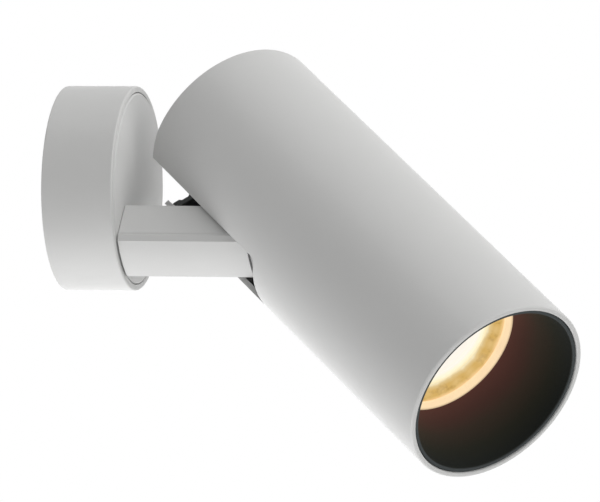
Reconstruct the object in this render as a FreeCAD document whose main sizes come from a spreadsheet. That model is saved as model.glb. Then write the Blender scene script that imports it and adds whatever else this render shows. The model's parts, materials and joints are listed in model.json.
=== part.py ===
"""Surface mounted ceiling spotlight: a parametric document of its separate pieces, in millimetres.

The origin is the centre of the face that lies on the ceiling, and +Z points up, so the lamp hangs to -Z.
The fixed pieces and the swivelling pieces are drawn in the base frame: x runs from the axis towards the arm,
y along the tilt hinge and z down from the ceiling. The head's pieces are drawn in the head frame: x runs from
the tube's axis towards its slot, y along the tilt hinge and z from the tube's rear edge to its mouth.
"""

import FreeCAD, Part

import math
import os
import re

import Sketcher

DRIVING_SIZES = [
    # base
    ("base_diameter", 60.0, "outer diameter of the base"),
    ("base_height", 21.5, "ceiling to the swivel disc's lower face"),
    ("base_wall", 1.8, "wall of the base housing"),
    ("flange_thickness", 2.2, "inner flange that carries the swivel"),
    ("flange_gap", 0.3, "flange to swivel disc"),
    ("disc_thickness", 3.5, "swivel disc"),
    ("disc_clearance", 0.25, "swivel disc to housing, all round"),
    ("disc_proud", 0.3, "swivel disc below the housing's rim"),
    ("edge_chamfer", 0.4, "broken edges of the visible shells"),
    ("running_clearance", 0.06, "radial clearance of a turning fit"),
    ("screw_sunk", 0.3, "grub screws below the surface around them"),
    ("screw_slot_width", 0.7, "screwdriver slots"),
    ("screw_slot_depth", 0.8, "screwdriver slots"),
    ("socket_corner", 1.2, "hexagon sockets, centre to corner"),
    ("socket_depth", 1.2, "hexagon sockets"),
    ("nipple_radius", 5.0, "hollow pivot of the swivel"),
    ("nipple_bore", 3.6, "wire passage in the pivot, radius"),
    ("nipple_proud", 0.8, "pivot above its nut"),
    ("disc_skin", 1.2, "swivel disc below its pivot"),
    ("wave_washer_radius", 8.4, "friction washer of the swivel"),
    ("wave_washer_thickness", 0.8, "friction washer of the swivel"),
    ("pan_nut_corner", 8.0, "centre to corner of the swivel's nut"),
    ("pan_nut_height", 3.0, "swivel nut"),
    ("stop_radius", 11.8, "axis to the stop pin"),
    ("stop_pin_radius", 1.2, "stop pin"),
    ("stop_groove_width", 3.2, "groove that the stop pin runs in"),
    ("stop_groove_depth", 1.6, "groove that the stop pin runs in"),
    ("stop_land_width", 3.0, "land that ends the swivel's travel"),
    ("land_root", 0.4, "land's root in the disc"),
    ("plate_thickness", 1.5, "mounting plate"),
    ("plate_clearance", 0.6, "mounting plate to housing"),
    ("plate_hole_radius", 6.0, "cable hole in the mounting plate"),
    ("plate_slot_spacing", 40.0, "between the two ceiling screws"),
    ("plate_slot_length", 9.0, "slot, end to end"),
    ("plate_slot_width", 4.5, "slot"),
    ("tab_inset", 0.8, "tab's outer face inside the plate's edge"),
    ("tab_width", 10.0, "tab that a grub screw holds"),
    ("tab_thickness", 2.4, "tab that a grub screw holds"),
    ("tab_height", 10.0, "tab below the plate"),
    ("grub_radius", 1.5, "grub screw"),
    ("grub_depth", 7.0, "ceiling to the grub screws"),
    ("grub_length", 6.0, "grub screw"),
    ("grub_angle", 45.0, "grub screws' place round the base"),
    ("bush_bore", 3.4, "cable bush, bore radius"),
    ("bush_flange", 7.6, "cable bush, flange radius"),
    ("bush_height", 1.6, "cable bush, flange height"),
    ("bush_recess", 0.2, "ceiling to the cable bush"),
    ("terminal_offset", 8.2, "axis to the terminal block"),
    ("terminal_width", 10.5, "terminal block, across its wires"),
    ("terminal_length", 20.0, "terminal block, along its row of screws"),
    ("terminal_height", 8.0, "terminal block"),
    ("terminal_pitch", 6.4, "between its screws"),
    ("terminal_screw_radius", 1.6, "terminal screw"),
    ("terminal_screw_length", 3.2, "terminal screw"),
    ("earth_offset", 13.0, "axis to the earth screw"),
    ("earth_screw_radius", 1.5, "earth screw, thread"),
    ("earth_head_radius", 3.0, "earth screw, head"),
    ("earth_head_height", 2.2, "earth screw, head"),
    # arm
    ("arm_width", 17.2, "arm, along the hinge"),
    ("arm_back", 14.6, "axis to the arm's inner face"),
    ("arm_length", 43.8, "swivel disc to the arm's free end"),
    ("arm_edge", 0.8, "rounded long edges of the arm"),
    ("cover_thickness", 1.6, "cover over the arm's wire channel"),
    ("cover_length", 38.4, "swivel disc to the cover's free end"),
    ("cover_foot_gap", 0.2, "cover's foot to the swivel disc"),
    ("knuckle_step", 0.9, "arm's free end below the cover's face"),
    ("knuckle_root", 8.0, "arm's free end, behind the cover"),
    ("knuckle_radius", 6.4, "arm's eye round the hinge pin"),
    ("channel_width", 9.0, "wire channel"),
    ("channel_floor", 18.4, "axis to the wire channel's floor"),
    ("channel_start", 9.5, "swivel disc to the wire channel"),
    ("channel_end", 30.0, "swivel disc to the wire channel's far end"),
    ("arm_screw_near", 18.0, "axis to the first arm screw"),
    ("arm_screw_far", 24.0, "axis to the second arm screw"),
    ("arm_screw_radius", 1.5, "arm screw, thread"),
    ("arm_screw_head", 2.8, "arm screw, head radius"),
    ("arm_screw_reach", 7.5, "arm screw's length in the arm"),
    ("countersink_depth", 1.6, "arm screw, head"),
    ("clamp_screw_place", 13.2, "swivel disc to the wire clamp screw"),
    ("clamp_screw_radius", 1.3, "wire clamp screw, thread"),
    ("clamp_screw_reach", 4.4, "wire clamp screw's length, through to the channel"),
    ("clamp_head_radius", 2.1, "wire clamp screw, head"),
    ("clamp_head_height", 2.5, "wire clamp screw, head"),
    ("boot_start", 16.6, "swivel disc to the lead's rubber boot"),
    ("boot_length", 7.5, "rubber boot"),
    ("boot_radius", 2.6, "rubber boot"),
    ("boot_foot", 5.2, "rubber boot's foot on the arm"),
    ("lead_radius", 1.8, "flexible lead along the arm"),
    ("lead_entry", 1.6, "lead's end inside the arm's eye"),
    # tilt hinge
    ("hinge_drop", 39.0, "swivel disc to the hinge axis"),
    ("hinge_offset", 15.5, "axis to the hinge axis"),
    ("tilt", 47.0, "head's tilt as shown, in degrees"),
    ("pin_radius", 2.5, "hinge pin"),
    ("pin_head_radius", 4.0, "hinge pin, head"),
    ("pin_head_height", 2.2, "hinge pin, head"),
    ("pin_socket_corner", 2.0, "hinge pin, hexagon socket"),
    ("washer_thickness", 0.8, "friction washer of the hinge"),
    ("washer_radius", 5.6, "friction washer of the hinge"),
    ("washer_gap", 0.1, "friction washer to cheek"),
    ("cheek_thickness", 2.4, "cheek of the hinge bracket"),
    ("cheek_radius", 6.4, "cheek's round end"),
    ("hinge_nut_corner", 4.5, "centre to corner of the hinge nut"),
    ("hinge_nut_height", 3.2, "hinge nut"),
    # head
    ("head_diameter", 58.0, "outer diameter of the tube"),
    ("head_length", 138.0, "tube, end to end"),
    ("head_wall", 1.5, "wall of the tube"),
    ("head_gap", 1.0, "folded head to swivel disc"),
    ("swing_clearance", 0.6, "rear edge to swivel disc as the head swings"),
    ("slot_clearance", 1.2, "arm to the slot's sides"),
    ("slot_reach", 18.0, "hinge axis to the slot's closed end"),
    ("inner_clearance", 0.15, "inner pieces to the tube"),
    ("cap_depth", 3.0, "rear edge to the rear cap"),
    ("cap_thickness", 2.5, "rear cap"),
    ("notch_floor", 8.4, "tube axis to the floor of the cap's notch"),
    ("cap_screw_place", 9.0, "tube axis to the cap screws, both ways"),
    ("cap_screw_radius", 1.5, "cap screw, thread"),
    ("cap_head_radius", 2.7, "cap screw, head"),
    ("cap_head_height", 1.1, "cap screw, head"),
    ("driver_length", 46.0, "driver case"),
    ("driver_width", 27.0, "driver case, along the hinge"),
    ("driver_top", 4.0, "tube axis to the driver's face by the arm"),
    ("driver_height", 25.0, "driver case, across"),
    ("bracket_web", 2.5, "web of the hinge bracket"),
    ("bracket_reach", 19.5, "hinge axis to the web"),
    ("bracket_top", 22.0, "tube axis to the cheeks' edge"),
    ("bracket_foot", 14.0, "tube axis to the web's far edge"),
    ("bracket_screw_radius", 1.5, "bracket screw, thread"),
    ("bracket_screw_head", 2.8, "bracket screw, head radius"),
    ("bracket_head_height", 2.0, "bracket screw, head"),
    ("bracket_screw_depth", 6.0, "bracket screw's length in the heat sink"),
    ("bracket_screw_back", 7.0, "tube axis to the bracket screws, away from the arm"),
    ("bracket_screw_side", 6.0, "tube axis to the bracket screws, along the hinge"),
    ("sink_part", 10.0, "heat sink's part of the room from bracket to mouth"),
    ("optic_part", 13.0, "reflector's part of that room"),
    ("cone_part", 12.0, "black cone's part of that room"),
    ("sink_core", 12.0, "heat sink's core radius"),
    ("fin_thickness", 1.8, "cooling fin"),
    ("sink_plate", 4.0, "heat sink's thick end plates"),
    ("board_radius", 20.0, "light source's circuit board"),
    ("board_thickness", 1.6, "light source's circuit board"),
    ("board_notch", 1.7, "notches in the circuit board, radius"),
    ("chip_side", 13.5, "light source, side of its ceramic"),
    ("chip_thickness", 1.0, "light source, ceramic"),
    ("emitter_radius", 5.0, "light source, glowing face"),
    ("emitter_height", 0.4, "light source, glowing face"),
    ("holder_radius", 23.0, "light source's holder"),
    ("holder_bore", 9.2, "light source's holder, opening"),
    ("holder_height", 4.4, "light source's holder"),
    ("holder_ledge", 2.0, "light source's holder, ledge on the ceramic"),
    ("holder_gap", 0.1, "light source's holder to the ceramic"),
    ("reflector_throat", 9.6, "reflector, radius by the light source"),
    ("reflector_waist", 16.8, "reflector, radius at the lens"),
    ("reflector_mouth", 21.0, "reflector, radius at its mouth"),
    ("reflector_wall", 0.9, "reflector"),
    ("reflector_step", 2.5, "reflector, lens seat to its mouth"),
    ("reflector_rim", 0.6, "reflector, straight rim at its mouth"),
    ("lens_seat", 0.8, "reflector, ledge under the lens"),
    ("lens_clearance", 0.05, "lens to the reflector, all round"),
    ("lens_thickness", 2.4, "lens at its edge"),
    ("lens_crown", 1.6, "lens, centre above its edge"),
    ("lens_ring_height", 2.0, "ring that holds the reflector"),
    ("lens_ring_lip", 0.6, "ring's lip inside the reflector's mouth"),
    ("lens_ring_lip_height", 0.8, "ring's lip"),
    ("lens_ring_edge", 0.4, "ring's inner edge outside the reflector's mouth"),
    ("baffle_inner", 21.8, "black cone, radius at its inner end"),
    ("baffle_wall", 0.9, "black cone"),
    ("baffle_recess", 0.5, "mouth to the black cone's edge"),
    ("baffle_rim", 2.0, "black cone, straight rim in the tube"),
    ("tube_screw_radius", 1.5, "screws that hold the heat sink in the tube"),
    ("tube_screw_length", 5.0, "screws that hold the heat sink in the tube"),
    ("tube_screw_angle", 100.0, "first tube screw's place round the tube"),
    ("tube_screw_pitch", 75.0, "first tube screw to the second, round the tube"),
]

DERIVED_SIZES = [
    ("base_radius", "base_diameter / 2"),
    ("housing_bore", "base_radius - base_wall"),
    ("housing_height", "base_height - disc_proud"),
    ("disc_top", "base_height - disc_thickness"),
    ("flange_bottom", "disc_top - flange_gap"),
    ("flange_top", "flange_bottom - flange_thickness"),
    ("flange_bore", "nipple_radius + running_clearance"),
    ("disc_radius", "housing_bore - disc_clearance"),
    ("washer_top", "flange_top - wave_washer_thickness"),
    ("pan_nut_top", "washer_top - pan_nut_height"),
    ("nipple_bottom", "base_height - disc_skin"),
    ("plate_radius", "housing_bore - plate_clearance"),
    ("tab_face", "plate_radius - tab_inset - tab_thickness"),
    ("head_radius", "head_diameter / 2"),
    ("head_bore", "head_radius - head_wall"),
    ("fitted_radius", "head_bore - inner_clearance"),
    ("arm_half", "arm_width / 2"),
    ("arm_end", "base_height + arm_length"),
    ("cover_end", "base_height + cover_length"),
    ("cover_inside", "head_radius - cover_thickness"),
    ("knuckle_outside", "head_radius - knuckle_step"),
    ("hinge_depth", "base_height + hinge_drop"),
    ("hinge_station", "hinge_drop - head_gap"),
    ("lead_line", "arm_back - boot_radius"),
    ("slot_half", "arm_half + slot_clearance"),
    ("slot_end", "hinge_station + slot_reach"),
    ("swing_radius", "hinge_drop - swing_clearance"),
    ("cheek_inside", "arm_half + washer_thickness + washer_gap"),
    ("cheek_outside", "cheek_inside + cheek_thickness"),
    ("web_start", "hinge_station + bracket_reach"),
    ("sink_start", "web_start + bracket_web"),
    ("inner_room", "head_length - sink_start - board_thickness - holder_height - lens_ring_height"),
    ("room_part", "inner_room / (sink_part + optic_part + cone_part)"),
    ("sink_length", "room_part * sink_part"),
    ("sink_end", "sink_start + sink_length"),
    ("board_end", "sink_end + board_thickness"),
    ("holder_end", "board_end + holder_height"),
    ("mouth_start", "head_length - room_part * cone_part"),
    ("ring_start", "mouth_start - lens_ring_height"),
    ("waist_station", "ring_start - reflector_step"),
    ("fin_gap", "(sink_length - 2 * sink_plate - 2 * fin_thickness) / 3"),
]

doc = FreeCAD.newDocument("CeilingSpotlight")
sheet = doc.addObject("Spreadsheet::Sheet", "Sizes")
size = {}


def on_sheet(text):
    """The expression with each size's name read from the sheet."""
    return re.sub(r"[a-z][a-z_]+", lambda word: "Sizes." + word.group(0), text)


def fill_sheet():
    """Driving sizes are numbers and derived sizes are formulas, each under its own alias."""
    row = 0
    for name, number, note in DRIVING_SIZES:
        row += 1
        sheet.set(f"A{row}", name)
        sheet.set(f"B{row}", str(number))
        sheet.set(f"C{row}", note)
        sheet.setAlias(f"B{row}", name)
    for name, formula in DERIVED_SIZES:
        row += 1
        sheet.set(f"A{row}", name)
        sheet.set(f"B{row}", "=" + formula)
        sheet.setAlias(f"B{row}", name)
    doc.recompute()
    for name in [entry[0] for entry in DRIVING_SIZES + DERIVED_SIZES]:
        size[name] = float(getattr(sheet, name))


NEAR = 0.1
ALONG_X = FreeCAD.Rotation(FreeCAD.Vector(0, 1, 0), 90)
ALONG_Y = FreeCAD.Rotation(FreeCAD.Vector(1, 0, 0), -90)
ALONG_Z = FreeCAD.Rotation()
counter = {}


def fresh(name):
    """A document name that no other helper object has."""
    counter[name] = counter.get(name, 0) + 1
    return f"{name}_{counter[name]}"


def primitive(kind, at, turn, sizes):
    """A Part primitive whose sizes and place are bound to the sheet."""
    item = doc.addObject("Part::" + kind, fresh(kind.lower()))
    for prop, formula in sizes.items():
        item.setExpression(prop, on_sheet(formula))
    item.Placement = FreeCAD.Placement(FreeCAD.Vector(), turn)
    for axis, formula in zip("xyz", at):
        item.setExpression("Placement.Base." + axis, on_sheet(formula))
    return item


def block(low, lengths):
    """A box from its lowest corner and its three lengths."""
    sizes = dict(zip(("Length", "Width", "Height"), lengths))
    return primitive("Box", low, ALONG_Z, sizes)


def rod(radius, length, at, turn=ALONG_Z):
    """A cylinder from the centre of its first face."""
    return primitive("Cylinder", at, turn, {"Radius": radius, "Height": length})


def taper(first, second, length, at, turn=ALONG_Z):
    """A cone frustum from the centre of its first face."""
    sizes = {"Radius1": first, "Radius2": second, "Height": length}
    return primitive("Cone", at, turn, sizes)


def hexagon(corner, height, at, turn=ALONG_Z):
    """A six-sided prism."""
    item = primitive("Prism", at, turn, {"Circumradius": corner, "Height": height})
    item.Polygon = 6
    return item


def join(*items):
    """One solid from overlapping ones."""
    item = doc.addObject("Part::MultiFuse", fresh("join"))
    item.Shapes = list(items)
    item.Refine = True
    return item


def cut(base, *tools):
    """The base less every tool."""
    item = doc.addObject("Part::Cut", fresh("cut"))
    item.Base = base
    item.Tool = tools[0] if len(tools) == 1 else join(*tools)
    item.Refine = True
    return item


def shared(*items):
    """What all the items have in common."""
    item = doc.addObject("Part::MultiCommon", fresh("shared"))
    item.Shapes = list(items)
    item.Refine = True
    return item


def group(*items):
    """Separate solids that make one sub-part."""
    item = doc.addObject("Part::Compound", fresh("group"))
    item.Links = list(items)
    return item


def turned(corners):
    """A body turned about z from a closed outline of (radius, z) corners, each a formula."""
    body = doc.addObject("PartDesign::Body", fresh("body"))
    sketch = body.newObject("Sketcher::SketchObject", fresh("outline"))
    plane = [p for p in body.Origin.OriginFeatures if p.Role == "XZ_Plane"][0]
    sketch.AttachmentSupport = (plane, "")
    sketch.MapMode = "FlatFace"
    count = len(corners)
    start = [
        FreeCAD.Vector(20 + math.cos(2 * math.pi * i / count), 20 + math.sin(2 * math.pi * i / count), 0)
        for i in range(count)
    ]
    for i in range(count):
        sketch.addGeometry(Part.LineSegment(start[i], start[(i + 1) % count]), False)
    for i in range(count):
        sketch.addConstraint(Sketcher.Constraint("Coincident", i, 2, (i + 1) % count, 1))
    for i, corner in enumerate(corners):
        for axis, kind, formula in ((-2, "DistanceX", corner[0]), (-1, "DistanceY", corner[1])):
            if formula == "0":
                sketch.addConstraint(Sketcher.Constraint("PointOnObject", i, 1, axis))
                continue
            index = sketch.addConstraint(Sketcher.Constraint(kind, -1, 1, i, 1, 20.0))
            sketch.setExpression(f"Constraints[{index}]", on_sheet(formula))
    doc.recompute()
    spin = body.newObject("PartDesign::Revolution", fresh("spin"))
    spin.Profile = sketch
    spin.ReferenceAxis = (sketch, ["V_Axis"])
    spin.Angle = 360.0
    return body


def rounded(item, radius, chosen):
    """The item with the edges that pass the test rounded."""
    doc.recompute()
    edges = [i + 1 for i, edge in enumerate(item.Shape.Edges) if chosen(edge)]
    fillet = doc.addObject("Part::Fillet", fresh("fillet"))
    fillet.Base = item
    fillet.Edges = [(i, size[radius], size[radius]) for i in edges]
    return fillet


# ------------------------------------------------------------------ fixed base


def base_housing():
    """Cup with an inner flange: its upper rim meets the ceiling."""
    cup = turned([
        ("housing_bore", "0"),
        ("base_radius - edge_chamfer", "0"),
        ("base_radius", "edge_chamfer"),
        ("base_radius", "housing_height - edge_chamfer"),
        ("base_radius - edge_chamfer", "housing_height"),
        ("housing_bore", "housing_height"),
        ("housing_bore", "flange_bottom"),
        ("flange_bore", "flange_bottom"),
        ("flange_bore", "flange_top"),
        ("housing_bore", "flange_top"),
    ])
    pin_hole = rod("stop_pin_radius", "flange_thickness", ("0 - stop_radius", "0", "flange_top"))
    return cut(cup, pin_hole, *grub_rods("grub_radius + running_clearance", "grub_length + base_wall"))


def grub_rods(radius, length):
    """Two rods across the base's wall, half a turn apart, outward from the screws' inner ends."""
    rods = []
    for turn in (0, 180):
        item = rod(radius, length, ("0", "0", "grub_depth"))
        angle = size["grub_angle"] + turn
        across = FreeCAD.Vector(math.cos(math.radians(angle)), math.sin(math.radians(angle)), 0)
        item.Placement.Rotation = FreeCAD.Rotation(FreeCAD.Vector(0, 0, 1), across)
        for axis, formula in (("x", f"cos({angle})"), ("y", f"sin({angle})")):
            outward = f"(Sizes.base_radius - Sizes.screw_sunk - Sizes.grub_length) * {formula}"
            item.setExpression("Placement.Base." + axis, outward)
        rods.append(item)
    return rods


def mounting_plate():
    """Steel disc on the ceiling, with two tabs for the housing's grub screws."""
    disc = rod("plate_radius", "plate_thickness", ("0", "0", "0"))
    tabs = []
    for turn in (0, 180):
        tab = block(("0", "0", "0"), ("tab_thickness", "tab_width", "plate_thickness + tab_height"))
        angle = size["grub_angle"] + turn
        tab.Placement.Rotation = FreeCAD.Rotation(FreeCAD.Vector(0, 0, 1), angle)
        inward, side = "Sizes.tab_face", "Sizes.tab_width / 2"
        tab.setExpression("Placement.Base.x", f"{inward} * cos({angle}) + {side} * sin({angle})")
        tab.setExpression("Placement.Base.y", f"{inward} * sin({angle}) - {side} * cos({angle})")
        tabs.append(tab)
    slots = []
    for sign in ("-1", "1"):
        centre = f"{sign} * plate_slot_spacing / 2"
        straight = "(plate_slot_length - plate_slot_width)"
        slots.append(block(
            ("0 - plate_slot_width / 2", f"{centre} - {straight} / 2", "0"),
            ("plate_slot_width", straight, "plate_thickness"),
        ))
        for end in ("-1", "1"):
            at = ("0", f"{centre} + {end} * {straight} / 2", "0")
            slots.append(rod("plate_slot_width / 2", "plate_thickness", at))
    cable_hole = rod("plate_hole_radius", "plate_thickness", ("0", "0", "0"))
    earth_hole = rod("earth_screw_radius", "plate_thickness", ("0 - earth_offset", "0", "0"))
    holes = grub_rods("grub_radius", "grub_length")
    return cut(join(disc, *tabs), cable_hole, earth_hole, *slots, *holes)


def cable_bush():
    """Rubber bush in the plate's cable hole."""
    return turned([
        ("bush_bore", "bush_recess"),
        ("plate_hole_radius", "bush_recess"),
        ("plate_hole_radius", "plate_thickness"),
        ("bush_flange", "plate_thickness"),
        ("bush_flange", "plate_thickness + bush_height - edge_chamfer"),
        ("bush_flange - edge_chamfer", "plate_thickness + bush_height"),
        ("bush_bore", "plate_thickness + bush_height"),
    ])


def terminal_places():
    """The y of each terminal screw."""
    return ["0 - terminal_pitch", "0", "terminal_pitch"]


def terminal_block():
    """Three-way block under the plate."""
    body = block(
        ("terminal_offset", "0 - terminal_length / 2", "plate_thickness"),
        ("terminal_width", "terminal_length", "terminal_height"),
    )
    holes = []
    middle = "terminal_offset + terminal_width / 2"
    for y in terminal_places():
        at = (middle, y, "plate_thickness + terminal_height / 2")
        holes.append(rod("terminal_screw_radius", "terminal_height / 2", at))
        side = ("terminal_offset", y, "plate_thickness + terminal_height / 3")
        holes.append(rod("terminal_screw_radius", "terminal_width", side, ALONG_X))
    return cut(body, *holes)


def terminal_screws():
    """Slotted screws in the block."""
    screws = []
    middle = "terminal_offset + terminal_width / 2"
    for y in terminal_places():
        outer_end = "plate_thickness + terminal_height"
        shank = rod("terminal_screw_radius", "terminal_screw_length",
                    (middle, y, f"{outer_end} - terminal_screw_length"))
        slot = block(
            (f"{middle} - terminal_screw_radius", f"{y} - screw_slot_width / 2",
             f"{outer_end} - screw_slot_depth"),
            ("terminal_screw_radius * 2", "screw_slot_width", "screw_slot_depth"),
        )
        screws.append(cut(shank, slot))
    return group(*screws)


def earth_screw():
    """Pan head screw with a slot, in the plate."""
    shank = rod("earth_screw_radius", "plate_thickness - bush_recess",
                ("0 - earth_offset", "0", "bush_recess"))
    head = rod("earth_head_radius", "earth_head_height", ("0 - earth_offset", "0", "plate_thickness"))
    slot = block(
        ("0 - earth_offset - earth_head_radius", "0 - screw_slot_width / 2",
         "plate_thickness + earth_head_height - screw_slot_depth"),
        ("earth_head_radius * 2", "screw_slot_width", "screw_slot_depth"),
    )
    return cut(join(shank, head), slot)


def housing_grub_screws():
    """Two grub screws that hold the housing on the plate's tabs."""
    return group(*grub_rods("grub_radius", "grub_length"))


def pan_stop_pin():
    """Pin under the flange that ends the swivel's travel."""
    length = "flange_thickness + stop_groove_depth"
    return group(rod("stop_pin_radius", length, ("0 - stop_radius", "0", "flange_top")))


# ------------------------------------------------------------------ swivel and arm


def swivel_disc():
    """Disc that closes the housing from below and carries the arm."""
    disc = turned([
        ("nipple_radius", "disc_top"),
        ("stop_radius - stop_groove_width / 2", "disc_top"),
        ("stop_radius - stop_groove_width / 2", "disc_top + stop_groove_depth"),
        ("stop_radius + stop_groove_width / 2", "disc_top + stop_groove_depth"),
        ("stop_radius + stop_groove_width / 2", "disc_top"),
        ("disc_radius", "disc_top"),
        ("disc_radius", "base_height - edge_chamfer"),
        ("disc_radius - edge_chamfer", "base_height"),
        ("0", "base_height"),
        ("0", "nipple_bottom"),
        ("nipple_radius", "nipple_bottom"),
    ])
    land = block(
        ("stop_radius - stop_groove_width / 2 - land_root", "0 - stop_land_width / 2", "disc_top"),
        ("stop_groove_width + land_root * 2", "stop_land_width", "stop_groove_depth + land_root"),
    )
    holes = []
    for place in ("arm_screw_near", "arm_screw_far"):
        holes.append(rod("arm_screw_radius", "disc_thickness", (place, "0", "disc_top")))
        holes.append(taper("arm_screw_head", "arm_screw_radius", "countersink_depth",
                           (place, "0", "disc_top")))
    return cut(join(disc, land), *holes)


def pan_nipple():
    """Hollow threaded pivot, screwed into the disc."""
    return turned([
        ("nipple_bore", "pan_nut_top - nipple_proud"),
        ("nipple_radius - edge_chamfer", "pan_nut_top - nipple_proud"),
        ("nipple_radius", "pan_nut_top - nipple_proud + edge_chamfer"),
        ("nipple_radius", "nipple_bottom"),
        ("nipple_bore", "nipple_bottom"),
    ])


def pan_wave_washer():
    """Friction washer on the flange."""
    return turned([
        ("nipple_radius", "washer_top"),
        ("wave_washer_radius", "washer_top"),
        ("wave_washer_radius", "flange_top"),
        ("nipple_radius", "flange_top"),
    ])


def pan_nut():
    """Nut that holds the swivel to the flange."""
    nut = hexagon("pan_nut_corner", "pan_nut_height", ("0", "0", "pan_nut_top"))
    return cut(nut, rod("nipple_radius", "pan_nut_height", ("0", "0", "pan_nut_top")))


def arm_screws():
    """Countersunk screws through the disc into the arm's foot."""
    screws = []
    for place in ("arm_screw_near", "arm_screw_far"):
        shank = rod("arm_screw_radius", "disc_thickness + arm_screw_reach", (place, "0", "disc_top"))
        head = taper("arm_screw_head", "arm_screw_radius", "countersink_depth", (place, "0", "disc_top"))
        socket = hexagon("socket_corner", "socket_depth", (place, "0", "disc_top"))
        screws.append(cut(join(shank, head), socket))
    return group(*screws)


def long_edge(edge):
    """An edge along z."""
    if len(edge.Vertexes) != 2:
        return False
    span = edge.Vertexes[1].Point - edge.Vertexes[0].Point
    return abs(span.z) > 10 and abs(span.x) < 0.01 and abs(span.y) < 0.01


def arm_bar():
    """Bar with a wire channel and an eye for the hinge pin."""
    width = ("0 - arm_half", "arm_width")
    bar = shared(
        block(("arm_back", width[0], "base_height"), ("head_radius", width[1], "cover_length")),
        rod("cover_inside", "cover_length", ("0", "0", "base_height")),
    )
    end = shared(
        block(("arm_back", width[0], "cover_end - knuckle_root"),
              ("head_radius", width[1], "arm_end - cover_end + knuckle_root")),
        cut(
            rod("knuckle_outside", "arm_length", ("0", "0", "base_height")),
            rod("head_diameter", "cover_length", ("0", "0", "base_height")),
        ),
    )
    eye = rod("knuckle_radius", width[1], ("hinge_offset", width[0], "hinge_depth"), ALONG_Y)
    pin_hole = rod("pin_radius + running_clearance", width[1],
                   ("hinge_offset", width[0], "hinge_depth"), ALONG_Y)
    channel = block(
        ("channel_floor", "0 - channel_width / 2", "base_height + channel_start"),
        ("head_radius", "channel_width", "channel_end - channel_start"),
    )
    lead_entry = rod("lead_radius", "knuckle_radius", ("lead_line", "0", "hinge_depth - knuckle_radius"))
    clamp_hole = rod("clamp_screw_radius", "clamp_screw_reach",
                     ("arm_back", "0", "base_height + clamp_screw_place"), ALONG_X)
    screw_holes = [
        rod("arm_screw_radius", "arm_screw_reach", (place, "0", "base_height"))
        for place in ("arm_screw_near", "arm_screw_far")
    ]
    whole = rounded(join(bar, end, eye), "arm_edge",
                    lambda edge: long_edge(edge) and edge.Vertexes[0].Point.x < size["arm_back"] + NEAR)
    return cut(whole, pin_hole, channel, lead_entry, clamp_hole, *screw_holes)


def arm_cover():
    """Curved cover over the wire channel, flush with the tube when the head is folded."""
    shell = cut(
        rod("head_radius", "cover_length - cover_foot_gap", ("0", "0", "base_height + cover_foot_gap")),
        rod("cover_inside", "cover_length", ("0", "0", "base_height")),
    )
    strip = block(
        ("arm_back", "0 - arm_half", "base_height"),
        ("head_radius", "arm_width", "cover_length"),
    )
    outer = size["head_radius"] - NEAR
    return rounded(
        shared(shell, strip), "arm_edge",
        lambda edge: long_edge(edge)
        and math.hypot(edge.Vertexes[0].Point.x, edge.Vertexes[0].Point.y) > outer,
    )


def arm_clamp_screw():
    """Cheese head screw on the arm's inner face, which clamps the wires in the channel."""
    at_depth = "base_height + clamp_screw_place"
    shank = rod("clamp_screw_radius", "clamp_screw_reach", ("arm_back", "0", at_depth), ALONG_X)
    head = rod("clamp_head_radius", "clamp_head_height",
               ("arm_back - clamp_head_height", "0", at_depth), ALONG_X)
    slot = block(
        ("arm_back - clamp_head_height", "0 - screw_slot_width / 2", f"{at_depth} - clamp_head_radius"),
        ("screw_slot_depth", "screw_slot_width", "clamp_head_radius * 2"),
    )
    return cut(join(shank, head), slot)


def lead_boot():
    """Rubber boot where the lead leaves the arm."""
    start = "base_height + boot_start"
    sleeve = rod("boot_radius", "boot_length", ("lead_line", "0", start))
    foot = block(
        ("lead_line", "0 - boot_radius", start),
        ("arm_back - lead_line", "boot_radius * 2", "boot_foot"),
    )
    return join(sleeve, foot)


def hinge_lead():
    """Lead from the boot along the arm into its eye."""
    start = "base_height + boot_start + boot_length"
    reach = "hinge_drop - boot_start - boot_length - knuckle_radius + lead_entry"
    return group(rod("lead_radius", reach, ("lead_line", "0", start)))


def hinge_washers():
    """Friction washers on both sides of the arm's eye."""
    washers = []
    for y in ("arm_half", "0 - arm_half - washer_thickness"):
        at = ("hinge_offset", y, "hinge_depth")
        disc = rod("washer_radius", "washer_thickness", at, ALONG_Y)
        hole = rod("pin_radius + running_clearance", "washer_thickness", at, ALONG_Y)
        washers.append(cut(disc, hole))
    return group(*washers)


# ------------------------------------------------------------------ head


def head_tube():
    """Tube with a slot for the arm, its rear edge relieved to swing past the swivel disc."""
    tube = turned([
        ("head_bore", "0"),
        ("head_radius - edge_chamfer", "0"),
        ("head_radius", "edge_chamfer"),
        ("head_radius", "head_length - edge_chamfer"),
        ("head_radius - edge_chamfer", "head_length"),
        ("head_bore", "head_length"),
    ])
    slot = block(
        ("notch_floor", "0 - slot_half", "0"),
        ("head_radius", "slot_half * 2", "slot_end"),
    )
    corner = block(
        ("hinge_offset", "0 - head_diameter", "0 - head_wall"),
        ("head_radius", "head_diameter * 2", "hinge_station / 2"),
    )
    swing = rod("swing_radius", "head_diameter * 3",
                ("hinge_offset", "0 - head_diameter * 1.5", "hinge_station"), ALONG_Y)
    holes = tube_screw_rods("tube_screw_radius + running_clearance", "tube_screw_length + head_wall")
    return cut(tube, slot, cut(corner, swing), *holes)


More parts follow.
